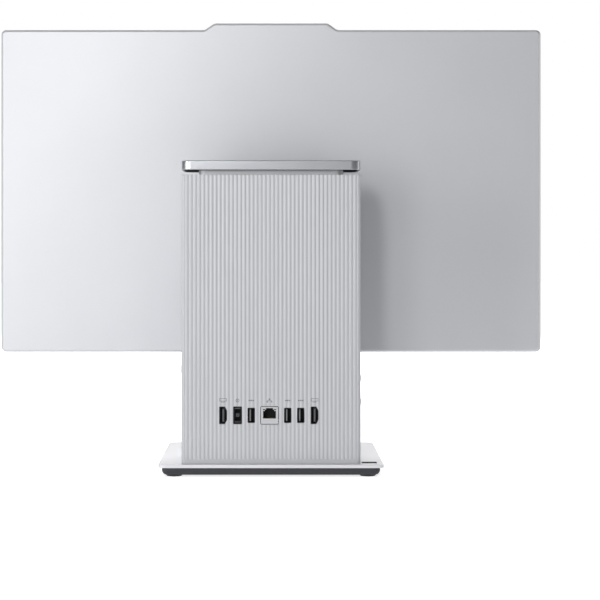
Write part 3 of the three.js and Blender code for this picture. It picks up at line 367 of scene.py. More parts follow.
def satin(name, dark, light, flake, rough, spread, skin, depth, **fixed):
    """A satin coat: flake and skin are cell sizes and depth the skin's height, in millimetres."""
    finish = Finish(name, **fixed)
    spots = finish.noise(flake, 1)
    cloud = finish.noise(90, 2)
    shade = 0.65 * spots + 0.35 * cloud
    waves = finish.noise(skin, 3)
    return finish.lay(
        Base_Color=finish.mix(shade, rgb(*dark), rgb(*light)),
        Roughness=rough + spread * (spots - 0.5),
        Normal=finish.bump(0.6 * waves + 0.4 * spots, depth),
    )


silver_paint = satin(
    "satin silver paint", (198, 199, 203), (215, 216, 220), 0.35, 0.42, 0.12, 1.6, 0.006,
    Metallic=0.3, Coat_Weight=0.08, Coat_Roughness=0.25,
)
pearl_paint = satin(
    "pearl paint", (222, 222, 226), (234, 234, 238), 0.3, 0.36, 0.08, 1.8, 0.005,
    Metallic=0.12, Coat_Weight=0.15, Coat_Roughness=0.2,
)
silver_plastic = satin(
    "moulded silver plastic", (190, 191, 195), (203, 204, 208), 0.22, 0.46, 0.1, 0.5, 0.012,
    Metallic=0.12,
)
print("silver finishes:", silver_paint.material.name, pearl_paint.material.name, silver_plastic.material.name)

# %% [markdown]
# ## Bare and plated metals
# The arm's cap is aluminium blasted with fine beads: thousands of shallow dents scatter the light, so it
# looks soft but still mirrors bright and dark things at its rounded corners. The steel inside is brushed,
# with long thin scratches, and the copper has gone slightly darker in clouds. The shields of two kinds of
# socket are thin sheet with a dull coat of tin, which the satin recipe gives.

# %% Aluminium, steel, copper, gold and tin


def metal(name, dark, light, cell, stretch, rough, spread, depth):
    """A bare metal: cell and stretch shape its grain and depth is the grain's height."""
    finish = Finish(name, Metallic=1.0)
    grain = finish.noise(cell, 2, stretch)
    cloud = finish.noise(25, 3)
    return finish.lay(
        Base_Color=finish.mix(0.5 * grain + 0.5 * cloud, rgb(*dark), rgb(*light)),
        Roughness=rough + spread * (grain - 0.5),
        Normal=finish.bump(grain, depth),
    )


EVEN, ALONG_X = (1, 1, 1), (0.02, 1, 1)
aluminium = metal("bead-blasted aluminium", (172, 174, 178), (188, 190, 194), 0.18, EVEN, 0.34, 0.12, 0.01)
steel = metal("brushed steel", (150, 151, 154), (178, 180, 183), 0.3, ALONG_X, 0.34, 0.16, 0.008)
copper = metal("plain copper", (168, 98, 66), (205, 138, 98), 1.2, EVEN, 0.28, 0.14, 0.006)
gold = metal("gold-plated contact", (196, 158, 84), (222, 186, 110), 0.2, ALONG_X, 0.24, 0.1, 0.004)
tin = satin(
    "tin-plated shield", (196, 197, 200), (210, 211, 214), 0.3, 0.34, 0.1, 1.2, 0.004, Metallic=0.45,
)
print("metals:", aluminium.material.name, steel.material.name, copper.material.name, gold.material.name)

# %% [markdown]
# ## Dark plastics and rubber
# The tray, the sockets and the bezel come from textured moulds. Their surface is a field of small rounded
# pits, which a Voronoi pattern gives. Rubber is duller, with a coarser and softer unevenness, and like the
# others it is paler on the ridges between its pits. The inlay in the base plate is the dullest of them.

# %% Dark finishes


def moulded(name, dark, light, pit, rough, depth, **fixed):
    """A plastic from a textured mould: pit is the size of its pits, in millimetres."""
    finish = Finish(name, **fixed)
    pits = finish.node(
        "ShaderNodeTexVoronoi", {"feature": "SMOOTH_F1"}, {"Vector": finish.place, "Scale": 1000 / pit},
    )
    cloud = finish.noise(18, 3)
    return finish.lay(
        Base_Color=finish.mix(0.5 * pits + 0.5 * cloud, rgb(*dark), rgb(*light)),
        Roughness=rough + 0.12 * (cloud - 0.5) + 0.1 * (pits - 0.5),
        Normal=finish.bump(pits, depth),
    )


dark_plastic = moulded("charcoal plastic", (42, 43, 48), (56, 57, 62), 0.5, 0.55, 0.02)
black_plastic = moulded("black plastic", (10, 11, 13), (20, 21, 24), 0.4, 0.5, 0.012, Specular_IOR_Level=0.3)
rubber = moulded("foot rubber", (40, 41, 45), (58, 59, 64), 1.1, 0.82, 0.05)
chip_black = moulded("moulded chip", (20, 21, 23), (34, 35, 38), 0.25, 0.5, 0.008)
# Two copies of one blade plastic. This paler grey is partly the plastic's colour and partly a painted
# highlight on the USB blades' edges.
highlit_blade_grey = moulded("grey contact blade with painted highlight", (118, 120, 124), (140, 142, 146), 0.4, 0.5, 0.008)
# This darker grey is the same plastic darkened as painted shade, for blades and pins deep in their mouths.
shadow_grey = moulded("painted-shade contact blade", (84, 86, 91), (104, 106, 111), 0.4, 0.5, 0.008)
inlay = moulded("warm grey inlay", (40, 37, 36), (54, 50, 49), 0.3, 0.8, 0.004, Specular_IOR_Level=0.1)
print("dark finishes:", dark_plastic.material.name, black_plastic.material.name, rubber.material.name)

# %% [markdown]
# ## Screen, light guide and lens
# The screen is off, so what shows is its outermost film: almost black, and roughened in very small cells
# so that it blurs reflections. The light guide behind it is clear acrylic with a grid of printed dots. The
# lens has a thin coating that tints its gloss violet, and the socket's signal windows are milky.

# %% Clear and glossy finishes
screen = Finish("anti-glare screen", Coat_Weight=0.25, Coat_Roughness=0.3)
sparkle = screen.noise(0.12, 1)
screen.lay(
    Base_Color=screen.mix(sparkle, rgb(9, 10, 12), rgb(17, 18, 21)),
    Roughness=0.28 + 0.14 * sparkle,
    Normal=screen.bump(sparkle, 0.003),
)

acrylic = Finish("clear acrylic", IOR=1.49)
dots = acrylic.node(
    "ShaderNodeTexVoronoi", inputs={"Vector": acrylic.place, "Scale": 400, "Randomness": 0.05},
)
acrylic.lay(
    Base_Color=acrylic.mix(dots < 0.3, rgb(226, 232, 236), rgb(246, 248, 250)),
    Roughness=0.12 + 0.3 * (dots < 0.3),
)

lens_glass = Finish("coated lens", Coat_Weight=1.0, Coat_Roughness=0.04)
tint = lens_glass.noise(1.5, 2)
lens_glass.lay(Base_Color=lens_glass.mix(tint, rgb(12, 10, 26), rgb(30, 22, 52)), Roughness=0.1 + 0.06 * tint)

milky = Finish("milky window", Coat_Weight=0.3, Coat_Roughness=0.15)
haze = milky.noise(0.8, 3)
milky.lay(Base_Color=milky.mix(haze, rgb(206, 206, 196), rgb(232, 232, 222)), Roughness=0.35 + 0.1 * haze)
print("clear finishes:", screen.material.name, acrylic.material.name, lens_glass.material.name)

# %% [markdown]
# ## Circuit board
# A board is copper lines under a green lacquer. Real lines run straight and turn at right angles, so here
# the board is divided into cells, and a random number for each cell decides whether its lines run across or
# up. A second, finer grid puts a few bare tinned pads between them.

# %% Board finish
LINE_CELL, LINE_PITCH = 9.0, 1.3
PAD_CELL, PAD_CHANCE = 2.6, 0.14
board = Finish("green circuit board", Coat_Weight=0.35, Coat_Roughness=0.2)
across, _, up = board.axes()


def steps(value, size):
    """A value in steps of size, one whole number for each cell."""
    return (value / size).floor()


def stripe(value, pitch, share):
    """1 on a line that fills this share of each pitch, and 0 between lines."""
    return (value / pitch).fraction() < share


def chance(first, second, size):
    """A random number from 0 to 1 for each cell of that size."""
    cell = board.node("ShaderNodeCombineXYZ", inputs={0: steps(first, size), 1: steps(second, size)})
    return board.node("ShaderNodeTexWhiteNoise", {"noise_dimensions": "3D"}, {"Vector": cell})


turn = chance(across, up, LINE_CELL) > 0.5
lines = turn * stripe(across, LINE_PITCH, 0.45) + (1 - turn) * stripe(up, LINE_PITCH, 0.45)
chosen_cells = chance(across, up, PAD_CELL) > 1 - PAD_CHANCE
pads = chosen_cells * stripe(across, PAD_CELL, 0.5) * stripe(up, PAD_CELL, 0.5)
lacquer = board.mix(0.6 * lines, rgb(17, 58, 38), rgb(34, 92, 58))
board.lay(
    Base_Color=board.mix(pads, lacquer, rgb(186, 184, 172)),
    Metallic=0.85 * pads,
    Roughness=0.42 - 0.1 * lines + 0.05 * board.noise(3),
    Normal=board.bump(lines + 0.5 * pads, 0.03),
)
print("board finish:", len(board.tree.nodes), "nodes")

# %% [markdown]
# ## Printed signs over the sockets
# Small grey signs are printed on the ribs over the rear sockets: a screen, a power ring, a plug and a
# network. They are plain generic shapes. Print has no thickness, so it belongs in the finish: each sign is
# a few rectangles or a ring, tested at every point of the surface. All of them are symmetrical, so one
# distance from the nearest socket of a kind draws the sign over every socket of that kind.

# %% Ribbed cover finish
SIGN_RISE, INK = 13.7, 0.85
sign_height = centre("lan_port").z + SIGN_RISE
ribbed = satin(
    "printed silver plastic", (186, 187, 191), (200, 201, 205), 0.22, 0.46, 0.1, 0.5, 0.012,
    Metallic=0.12,
)
side_x, back_y, high_z = ribbed.axes()
sign_z = high_z - sign_height


def nearest(nodes):
    """Distance across the face from the nearest of these sockets."""
    gaps = [abs(side_x - centre(node).x) for node in nodes]
    closest = gaps[0]
    for gap in gaps[1:]:
        closest = closest.least(gap)
    return closest


def patch(x, from_middle, half_width, z, half_height):
    """1 inside a printed rectangle, or a pair of them at both sides of the middle."""
    return (abs(x - from_middle) < half_width) * (abs(sign_z - z) < half_height)


screens = nearest(["screen_in_port", "screen_out_port"])
plugs = nearest(["usb_port_1", "usb_port_2", "usb_port_3"])
power = nearest(["dc_jack"])
network = nearest(["lan_port"])
ring = (power * power + sign_z * sign_z).root()
signs = [
    patch(screens, 0, 3.4, 0.6, 1.4) - patch(screens, 0, 2.9, 0.6, 0.9) + patch(screens, 0, 1.7, -1.5, 0.3),
    patch(plugs, 0, 2.4, 0, 0.28) + patch(plugs, 1.9, 0.5, 0, 0.6) + patch(plugs, 0, 0.45, 0, 0.8),
    (abs(ring - 1.4) < 0.32) + (ring < 0.45),
    patch(network, 0, 0.8, 1.2, 0.65) + patch(network, 1.9, 0.8, -1.2, 0.65)
    + patch(network, 0, 2.1, 0, 0.22) + patch(network, 1.9, 0.22, -0.4, 0.4),
]
on_rear_face = back_y > rear_high.y - 1.0
print_mask = ((signs[0] + signs[1] + signs[2] + signs[3]) * on_rear_face).least(1.0)
plain = Value(ribbed, ribbed.shader.inputs["Base Color"].links[0].from_socket)
ribbed.lay(Base_Color=ribbed.mix(INK * print_mask, plain, rgb(112, 114, 119)))
print("signs over the sockets:", len(ribbed.tree.nodes), "nodes")

# %% [markdown]
# ## The display's outline
# Seen from behind, the display is a wide rectangle with small round corners. In the middle of its upper
# edge a low bump with sloping ends makes room for the camera. Three pieces share this outline: the rear
# cover, the bezel and the chin. So one function draws it as a block: a box, split at the feet of the bump,
# whose middle is extruded upwards and narrowed.

# %% A block with the display's outline
DISPLAY_CORNER = 5.0
BUMP_BASE, BUMP_TOP, BUMP_HEIGHT = 133.8, 113.9, 6.7
bottom_z, bump_z = cover_low.z, cover_high.z
top_z = bump_z - BUMP_HEIGHT
half_width = cover_high.x


def display_block(y0, y1):
    """A solid with the display's outline between two depths."""
    bm = block((-half_width, y0, bottom_z), (half_width, y1, top_z))
    for side in (-1, 1):
        split(bm, (side * BUMP_BASE / 2, 0, 0), (1, 0, 0))
    middle = [f for f in bm.faces if f.normal.z > 0.9 and abs(f.calc_center_median().x) < 1]
    grown = bmesh.ops.extrude_face_region(bm, geom=middle)["geom"]
    raised = [part for part in grown if isinstance(part, bmesh.types.BMVert)]
    bmesh.ops.translate(bm, verts=raised, vec=(0, 0, BUMP_HEIGHT))
    bmesh.ops.scale(bm, verts=raised, vec=(BUMP_TOP / BUMP_BASE, 1, 1))
    bmesh.ops.delete(bm, geom=middle, context="FACES_ONLY")
    inner = [e for e in bm.edges if len(e.link_faces) == 2 and e.calc_face_angle(4) < 0.001]
    bmesh.ops.dissolve_edges(bm, edges=inner, use_verts=True)
    soften(bm, DISPLAY_CORNER, 8, lambda m, d: abs(d.y) > 0.99 and abs(m.x) > half_width - 1)
    return soften(bm, 1.5, 4, lambda m, d: abs(d.y) > 0.99 and abs(m.x) < BUMP_BASE / 2 + 1)


sample = display_block(0, 10)
print("outline:", len(sample.verts) // 2, "points,", round(sample.calc_volume(signed=True) / 1000, 1), "cm3")
sample.free()

# %% [markdown]
# ## Display rear cover
# The cover is one pressed and painted shell. Its flat back turns down into a narrow sloping rim all round,
# and the light catches the line where the two meet. A bevel of the back's outline makes the rim, and a
# second, tiny bevel takes the sharpness off both of its lines. Then the inside is hollowed, and the hinge
# window and the sound slots in the lower edge are cut through.

# %% Rear cover, its rim
RIM, RIM_ROUND = 2.1, 0.3
WALL, BACK_SHEET = 2.4, 2.0
WINDOW_X, WINDOW_Z = 62.0, 8.0
hinge_z = centre("hinge_trim").z
back_y0, back_y1 = cover_low.y, cover_high.y

cover = display_block(back_y0, back_y1)
soften(cover, RIM, 1, lambda m, d: m.y > back_y1 - 0.001 and abs(d.y) < 0.01)
sloped = [f for f in cover.faces if 0.2 < f.normal.y < 0.95]
lines = {e for f in sloped for e in f.edges if any(g not in sloped for g in e.link_faces)}
round_off(cover, list(lines), RIM_ROUND, 3)
print("rim:", len(sloped), "sloping faces")

# %% Rear cover, hollowed and pierced
inner_half, inner_back = half_width - WALL, back_y1 - BACK_SHEET
bump_half = BUMP_TOP / 2 - BACK_SHEET
hollows = [
    block((-inner_half, back_y0 - 1, bottom_z + WALL), (inner_half, inner_back, top_z - WALL)),
    block((-bump_half, back_y0 - 1, top_z - 4), (bump_half, inner_back, bump_z - WALL)),
]
window = block((-WINDOW_X, back_y1 - 4, hinge_z - WINDOW_Z), (WINDOW_X, back_y1 + 1, hinge_z + WINDOW_Z))
soften(window, 1.0, 3, along_y)
slots = bmesh.new()
SLOT_PITCH, SLOTS, SLOT_HALF = 8.0, 9, 1.5
SLOT_Y = (back_y1 - 12, back_y1 - 6)
for node in ("speaker_left", "speaker_right"):
    for i in range(SLOTS):
        x = centre(node).x + (i - (SLOTS - 1) / 2) * SLOT_PITCH
        block(
            (x - SLOT_HALF, SLOT_Y[0], bottom_z - 1), (x + SLOT_HALF, SLOT_Y[1], bottom_z + WALL + 1), slots,
        )
soften(slots, 1.2, 3, upright)
combine(cover, [*hollows, window, slots])
piece("rear_shell", cover, silver_paint, "display", ["display_rear_cover"])

# %% [markdown]
# ## Bezel, chin and screen
# From the front, a narrow black bezel frames the screen on three sides and a silver chin closes the bottom.
# Both are slices of the same outline, cut at the seam between them. The bezel also needs its window, the
# round lens opening, the slot in which the shutter's tab slides, and a pinhole for the microphone.

# %% Bezel and chin
chin_low, chin_high = span("chin_cover")
LIT_WIDTH, LIT_HEIGHT = 527.04, 296.46
SCREEN_HALF = LIT_WIDTH / 2
SCREEN_TOP = chin_high.z + 0.1 + LIT_HEIGHT
LENS_RADIUS, PINHOLE = 2.8, 0.5
MICROPHONE_X = (-14, -22)
TAB_X, TAB_HALF = (19, 25), 0.8
tab_low, tab_high = span("camera_shutter")
lens_z = centre("camera_shutter").z
SHUTTER_TRAVEL, GAP = 9.0, 0.3


def disc(radius, y0, y1, x, z, sides=48):
    """A round bar along Y."""
    lay_down = Matrix.Translation((x, (y0 + y1) / 2, z)) @ Matrix.Rotation(math.pi / 2, 4, "X")
    return rod(radius, y1 - y0, lay_down, sides=sides)


bezel = display_block(bezel_low.y, bezel_high.y)
soften(bezel, 0.4, 3, end_of(bezel, Y, -1))
through = bezel_low.y - 1, bezel_high.y + 1
opening = block((-SCREEN_HALF, through[0], 0), (SCREEN_HALF, through[1], SCREEN_TOP))
slot_half = TAB_HALF + GAP
tab_slot = block(
    (TAB_X[0] - SHUTTER_TRAVEL - GAP, through[0], lens_z - slot_half),
    (TAB_X[1] + GAP, through[1], lens_z + slot_half),
)
soften(tab_slot, 0.6, 3, along_y)
below = block((-300, through[0], 0), (300, through[1], bezel_low.z))
pinholes = [disc(PINHOLE, through[0], bezel_low.y + 0.8, x, lens_z, 16) for x in MICROPHONE_X]
combine(bezel, [below, opening, tab_slot, disc(LENS_RADIUS, *through, 0, lens_z), *pinholes])
piece("bezel_frame", bezel, black_plastic, "display", ["front_bezel"])

chin = display_block(chin_low.y, chin_high.y)
soften(chin, 0.4, 3, end_of(chin, Y, -1))
combine(chin, [block((-300, through[0], chin_high.z), (300, through[1], 500))])
piece("chin_strip", chin, silver_paint, "display", ["chin_cover"])

# %% [markdown]
# The panel itself is glass with a polarising film on its front. The film ends a little short of the glass,
# so an inset face, raised by a fiftieth of a millimetre, makes it.

# %% Panel
panel = like("lcd_panel")
soften(panel, 0.25, 2, end_of(panel, Y, -1))
glass = [f for f in panel.faces if f.normal.y < -0.99]
bmesh.ops.inset_region(panel, faces=glass, thickness=1.0, depth=0.0)
film = [f for f in panel.faces if f.normal.y < -0.99 and f.calc_area() > 1e5]
bmesh.ops.inset_region(panel, faces=film, thickness=0.05, depth=0.02)
piece("screen_panel", panel, screen, "display", ["lcd_panel"])

# %% [markdown]
# The lens is a low dome, spun about its axis, that sits far enough back for the shutter's blade to pass in
# front of it. The blade carries a ribbed tab for the fingertip, which shows in the bezel's slot.

# %% Lens and shutter


def turned(profile, place, steps=48):
    """A solid of revolution about Z: the profile gives radius and height, from axis to axis."""
    bm = bmesh.new()
    verts = [bm.verts.new((radius, 0, height)) for radius, height in profile]
    edges = [bm.edges.new(pair) for pair in zip(verts, verts[1:])]
    bmesh.ops.spin(
        bm, geom=verts + edges, cent=(0, 0, 0), axis=(0, 0, 1), angle=2 * math.pi,
        steps=steps, use_merge=True, use_duplicate=False,
    )
    bmesh.ops.remove_doubles(bm, verts=bm.verts, dist=0.001)
    bmesh.ops.recalc_face_normals(bm, faces=bm.faces)
    bmesh.ops.transform(bm, matrix=place, verts=bm.verts)
    return bm


camera_front = span("camera_module")[0].y
facing_front = Matrix.Rotation(math.pi / 2, 4, "X")
room = camera_front - tab_high.y
rise = 0.6 * room
lens_dome = [
    (0, rise), (0.9, 0.9 * rise), (1.7, 0.6 * rise), (2.2, 0.2 * rise), (2.3, 0.0), (2.3, -0.3), (0, -0.3),
]
lens_place = Matrix.Translation((0, camera_front, lens_z)) @ facing_front
print("air between the lens seat and the shutter:", round(room, 2), "mm")
piece("camera_lens", turned(lens_dome, lens_place), lens_glass, "display")

BLADE_X, BLADE_Y = (5, 26), tab_low.y + 2.7
blade = block((BLADE_X[0], BLADE_Y, tab_low.z), (BLADE_X[1], tab_high.y, tab_high.z))
shutter = soften(blade, 0.15, 1, every)
tab = block((TAB_X[0], tab_low.y, lens_z - TAB_HALF), (TAB_X[1], tab_high.y - 0.3, lens_z + TAB_HALF))
soften(tab, 0.25, 3, end_of(tab, Y, -1))
RIDGES, RIDGE_PITCH = 5, 0.8
ridges = bmesh.new()
for i in range(RIDGES):
    x = sum(TAB_X) / 2 + (i - (RIDGES - 1) / 2) * RIDGE_PITCH
    block((x - 0.15, tab_low.y - 1, lens_z - 0.5), (x + 0.15, tab_low.y + 0.2, lens_z + 0.5), ridges)
combine(shutter, [tab], "UNION")
combine(shutter, [ridges])
piece("shutter_slider", shutter, black_plastic, "shutter", ["camera_shutter"])

# %% [markdown]
# A moulded trim frames the window through which the hinge enters the display. It stands slightly proud of
# the back and leans in towards the opening, which a bevel on its outer edge gives.

# %% Hinge trim
trim_low, trim_high = span("hinge_trim")
trim = soften(like("hinge_trim"), 2.9, 6, along_y)
soften(trim, 1.2, 4, end_of(trim, Y, 1))
hole = block(
    (-WINDOW_X, trim_low.y - 1, hinge_z - WINDOW_Z), (WINDOW_X, trim_high.y + 1, hinge_z + WINDOW_Z),
)
combine(trim, [soften(hole, 1.0, 3, along_y)])
piece("hinge_frame", trim, silver_plastic, "display", ["hinge_trim"])

# %% [markdown]
# ## Sockets
# A socket is a deep, thin-walled mouth with a blade inside it that carries the contacts. Each is modelled
# looking out along Z and then turned to face the way its side of the tower faces. The same outline, grown
# by the fitting gap, cuts its hole in the casing, so the hole always matches. The table gives each kind its
# size, wall and depth, and its blade as place, width, height and distance behind the mouth.

# %% Socket shapes
SHAPES = {
    "screen": dict(size=(6.6, 15.6), wall=0.6, depth=9.0, blade=(0.1, 1.6, 12.0, 1.5)),
    "usb": dict(size=(6.2, 13.4), wall=0.5, depth=11.0, blade=(-0.95, 1.2, 10.6, 1.0)),
    "power": dict(size=(7.6, 15.8), wall=1.1, depth=10.0, blade=(0.0, 1.8, 2.6, 2.0)),
    "small": dict(size=(3.2, 9.0), wall=0.3, depth=7.0, blade=(0.0, 0.7, 6.6, 1.0)),
    "audio": dict(size=(6.0, 6.0), wall=1.2, depth=12.0, blade=None),
    "network": dict(size=(15.8, 15.6), wall=0.5, depth=13.0, blade=None),
}
REAR = Matrix(((-1, 0, 0, 0), (0, 0, 1, 0), (0, 1, 0, 0), (0, 0, 0, 1)))
RIGHT = Matrix(((0, 0, 1, 0), (1, 0, 0, 0), (0, 1, 0, 0), (0, 0, 0, 1)))


def mouth(kind, grow, back, front):
    """A solid with a socket's outline, grown or shrunk all round, between two depths."""
    width, height = (side + 2 * grow for side in SHAPES[kind]["size"])
    bm = block((-width / 2, -height / 2, back), (width / 2, height / 2, front))
    if kind in ("small", "audio"):
        return soften(bm, width / 2 - 0.02, 10, upright)
    if kind != "screen":
        return soften(bm, max(0.3, 0.6 + grow), 4, upright)
    lean_x, lean_y = 0.3 * SHAPES[kind]["size"][0], 0.24 * SHAPES[kind]["size"][1]
    for end in (-1, 1):
        slice_off(bm, (width / 2, end * (height / 2 - lean_y), 0), (lean_y, end * lean_x, 0))
    return soften(bm, 0.45, 3, upright)


def socket_place(node, side):
    """Turns a socket to its side of the tower, with its mouth where the frame's is."""
    at, high = centre(node), span(node)[1]
    if side is REAR:
        at.y = high.y
    else:
        at.x = high.x
    return Matrix.Translation(at) @ side


print("kinds of socket:", ", ".join(SHAPES))

# %% Which socket goes where
WIDE_GAP = 0.6
SOCKETS = [
    ("screen_in_port", "screen", REAR), ("dc_jack", "power", REAR), ("usb_port_1", "usb", REAR),
    ("lan_port", "network", REAR), ("usb_port_2", "usb", REAR), ("usb_port_3", "usb", REAR),
    ("screen_out_port", "screen", REAR), ("audio_jack", "audio", RIGHT), ("small_usb_port", "small", RIGHT),
    ("side_usb_port", "usb", RIGHT),
]


def add_to(target, bm, place):
    """Moves one mesh into another, at a place."""
    shape = bpy.data.meshes.new("part")
    bm.to_mesh(shape)
    bm.free()
    shape.transform(place)
    target.from_mesh(shape)
    bpy.data.meshes.remove(shape)


def holes(side):
    """Cutting tools for every socket on one side, in one mesh."""
    cutters = bmesh.new()
    for node, kind, facing in SOCKETS:
        if facing is side:
            tool = mouth(kind, WIDE_GAP if kind == "network" else GAP, -6, 2)
            add_to(cutters, tool, socket_place(node, side))
    return cutters


print("sockets:", len(SOCKETS))

# %% [markdown]
# ## Ribbed rear cover
# The tower's rear face has over forty upright ribs with rounded crests and narrow grooves between them,
# and a plain strip under them. The cover starts as a block with round rear corners. A groove is as wide as
# the pitch at the crests and narrows to a slot at its floor, so its cutting tool is a bar, split at a few
# depths and squeezed level by level. Forty-odd such bars side by side cut all the ribs in one pass.

# %% The grooves
RIB_PITCH, RIB_DEPTH, RIB_MARGIN, BAND = 3.78, 0.32, 3.1, 4.2
CREST = 0.42
tower_width = rear_high.x - rear_low.x
rib_count = math.floor((tower_width - 2 * RIB_MARGIN) / RIB_PITCH)
band_z = rear_low.z - 0.1 + BAND
face_y = rear_high.y


def groove_half(depth):
    """Half the width of a groove at a depth under the crests: the crest is an arch."""
    return RIB_PITCH / 2 - CREST * RIB_PITCH * (max(depth, 0.0) / RIB_DEPTH) ** 0.5 - 0.02


grooves = bmesh.new()
LEVELS = [0.012, 0.04, 0.08, 0.15, 0.24]
bar = block((-1, face_y - RIB_DEPTH, band_z), (1, face_y + 1.5, rear_high.z + 5))
for depth in [0.0, *LEVELS]:
    split(bar, (0, face_y - depth, 0), (0, 1, 0))
for vert in bar.verts:
    bmesh.ops.scale(bar, verts=[vert], vec=(groove_half(face_y - vert.co.y), 1, 1))
for i in range(rib_count + 1):
    add_to(grooves, bar.copy(), Matrix.Translation(((i - rib_count / 2) * RIB_PITCH, 0, 0)))
bar.free()
print("grooves:", rib_count + 1)

# %% Rear cover with ribs
COVER_WALL, COVER_BACK = 2.2, 2.6
ribs = soften(like("rear_cover"), 3.0, 6, lambda m, d: abs(d.z) > 0.99 and m.y > face_y - 0.001)
soften(ribs, 0.5, 2, lambda m, d: m.z > rear_high.z - 0.001 and m.y > rear_low.y + 0.01)
inside = like("rear_cover", (COVER_WALL, -1, -1), (-COVER_WALL, -COVER_BACK, 1))
combine(ribs, [inside, holes(REAR), grooves])
piece("ribbed_cover", ribs, ribbed, "stand", ["rear_cover"], corner=50)
print("ribs:", rib_count)

# %% [markdown]
# ## Tower shell
# One folded and painted sheet makes the front and both sides. It is a block with two large round corners,
# opened at the back, top and bottom, and given a wall. Slots for air, round holes for the buttons, the side
# sockets' mouths and a lock slot then go through it.

# %% Shell and its vents
BUTTONS = {"power_button": 4.2, "source_button": 3.0, "brightness_button": 3.0}
SHELL_WALL, SHELL_CORNER = 2.2, 10.0
shell = soften(like("tower_shell"), SHELL_CORNER, 10, lambda m, d: abs(d.z) > 0.99 and m.y < 0)
soften(shell, 0.5, 2, lambda m, d: m.z > shell_high.z - 0.001 and m.y < shell_high.y - 0.01)
core = like("tower_shell", (SHELL_WALL, SHELL_WALL, -1), (-SHELL_WALL, 1, 1))
soften(core, SHELL_CORNER - SHELL_WALL, 10, lambda m, d: abs(d.z) > 0.99 and m.y < 10)
VENT_ROWS, VENT_PITCH, VENT_TALL = 9, 6.0, 2.6
VENT_Y = (18.4, 56.4)
fan_low, fan_high = span("fan_rotor")
vent_z = (fan_low.z + fan_high.z) / 2 - VENT_ROWS / 2 * VENT_PITCH
vents = bmesh.new()
for row in range(VENT_ROWS):
    z = vent_z + row * VENT_PITCH
    block((shell_low.x - 1, VENT_Y[0], z), (shell_high.x + 1, VENT_Y[1], z + VENT_TALL), vents)
soften(vents, 1.1, 4, along_x)
print("vents:", 2 * VENT_ROWS)

# %% Holes in the sides


def button_place(node):
    """A button's place on its side of the tower, with Z pointing out of the casing."""
    at = centre(node)
    side = 1 if at.x > 0 else -1
    at.x = side * shell_high.x
    return Matrix.Translation(at) @ Matrix.Rotation(side * math.pi / 2, 4, "Y")


side_holes = [rod(radius + GAP, 8, button_place(node)) for node, radius in BUTTONS.items()]
LOCK_RISE, LOCK_HALF = 45.1, (1.5, 3.5)
lock_y, lock_z = centre("source_button").y, shell_low.z + LOCK_RISE
lock = block(
    (shell_low.x - 2, lock_y - LOCK_HALF[0], lock_z - LOCK_HALF[1]),
    (shell_low.x + 4, lock_y + LOCK_HALF[0], lock_z + LOCK_HALF[1]),
)
side_holes.append(soften(lock, 1.0, 3, along_x))
combine(shell, [core, vents, holes(RIGHT), *side_holes])
piece("painted_shell", shell, silver_paint, "stand", ["tower_shell"])

# %% [markdown]
# ## Inside the sockets
# A dark mouth shows little, but the little counts: the pale edge of a USB blade, whose paleness is partly
# a painted highlight, the square pin of the power inlet, and the stepped opening of the network socket with
# its two signal windows. Shells and blades are separate pieces, so each takes its own finish: the blades
# share one grey plastic, paler with a painted highlight in the USB sockets and darker as painted shade in
# the others.

# %% Inside the network socket
blades, shaded_blades, contacts, windows = (bmesh.new() for _ in range(4))
STEPS = [(5.9, -2.9, 4.1), (4.3, 0, 5.4), (3.1, 0, 6.7)]
LAMP_X, LAMP_Z = 5.2, (6.2, 7.0)
PINS, PIN_PITCH, PIN_LEAN = 8, 1.02, -9


def network_mouth(body, where):
    """Cuts the stepped opening and the seats around it, and adds the signal windows and the pins."""
    tools = [block((-half, low, -13), (half, high, 1)) for half, low, high in STEPS]
    for half, low, high in [(0.9, 4.8, 5.7), (2.0, *LAMP_Z)]:
        tools += [block((x - half, low, -1.5), (x + half, high, 1)) for x in (-LAMP_X, LAMP_X)]
    combine(body, [*tools, block((-5.6, -4.6, -0.3), (5.6, -4.3, 1))])
    for x in (-LAMP_X, LAMP_X):
        lamp = block((x - 1.9, LAMP_Z[0] + 0.05, -1.4), (x + 1.9, LAMP_Z[1] - 0.05, -0.1))
        add_to(windows, soften(lamp, 0.15, 2, every), where)
    lean = Matrix.Translation((0, 0.6, 0)) @ Matrix.Rotation(math.radians(PIN_LEAN), 4, "X")
    for i in range(PINS):
        x = (i - (PINS - 1) / 2) * PIN_PITCH
        pin = block((x - 0.2, -2.6, -9), (x + 0.2, -2.2, -1.2))
        add_to(contacts, soften(pin, 0.08, 1, every), where @ lean)


print("network socket:", PINS, "pins")

# %% [markdown]
# The power inlet has one square, hollow pin between two lips. The others have a blade with contacts along
# one face. The audio jack stays an empty bore.

# %% Pins, blades and contacts
CONTACTS = {"usb": 4, "screen": 9, "small": 6}


def power_pin(where):
    """A square pin with a hollow end, and a lip above and below it."""
    pin = soften(block((-1.4, -1.4, -9.9), (1.4, 1.4, -1.6)), 0.3, 2, upright)
    # The pin and its lips take the blade grey darkened as painted shade.
    add_to(shaded_blades, combine(pin, [block((-0.7, -0.7, -6), (0.7, 0.7, 0))]), where)
    for z in (-6.2, 6.2):
        lip = block((-2.6, z - 0.35, -8), (2.6, z + 0.35, -0.9))
        add_to(shaded_blades, soften(lip, 0.15, 2, every), where)


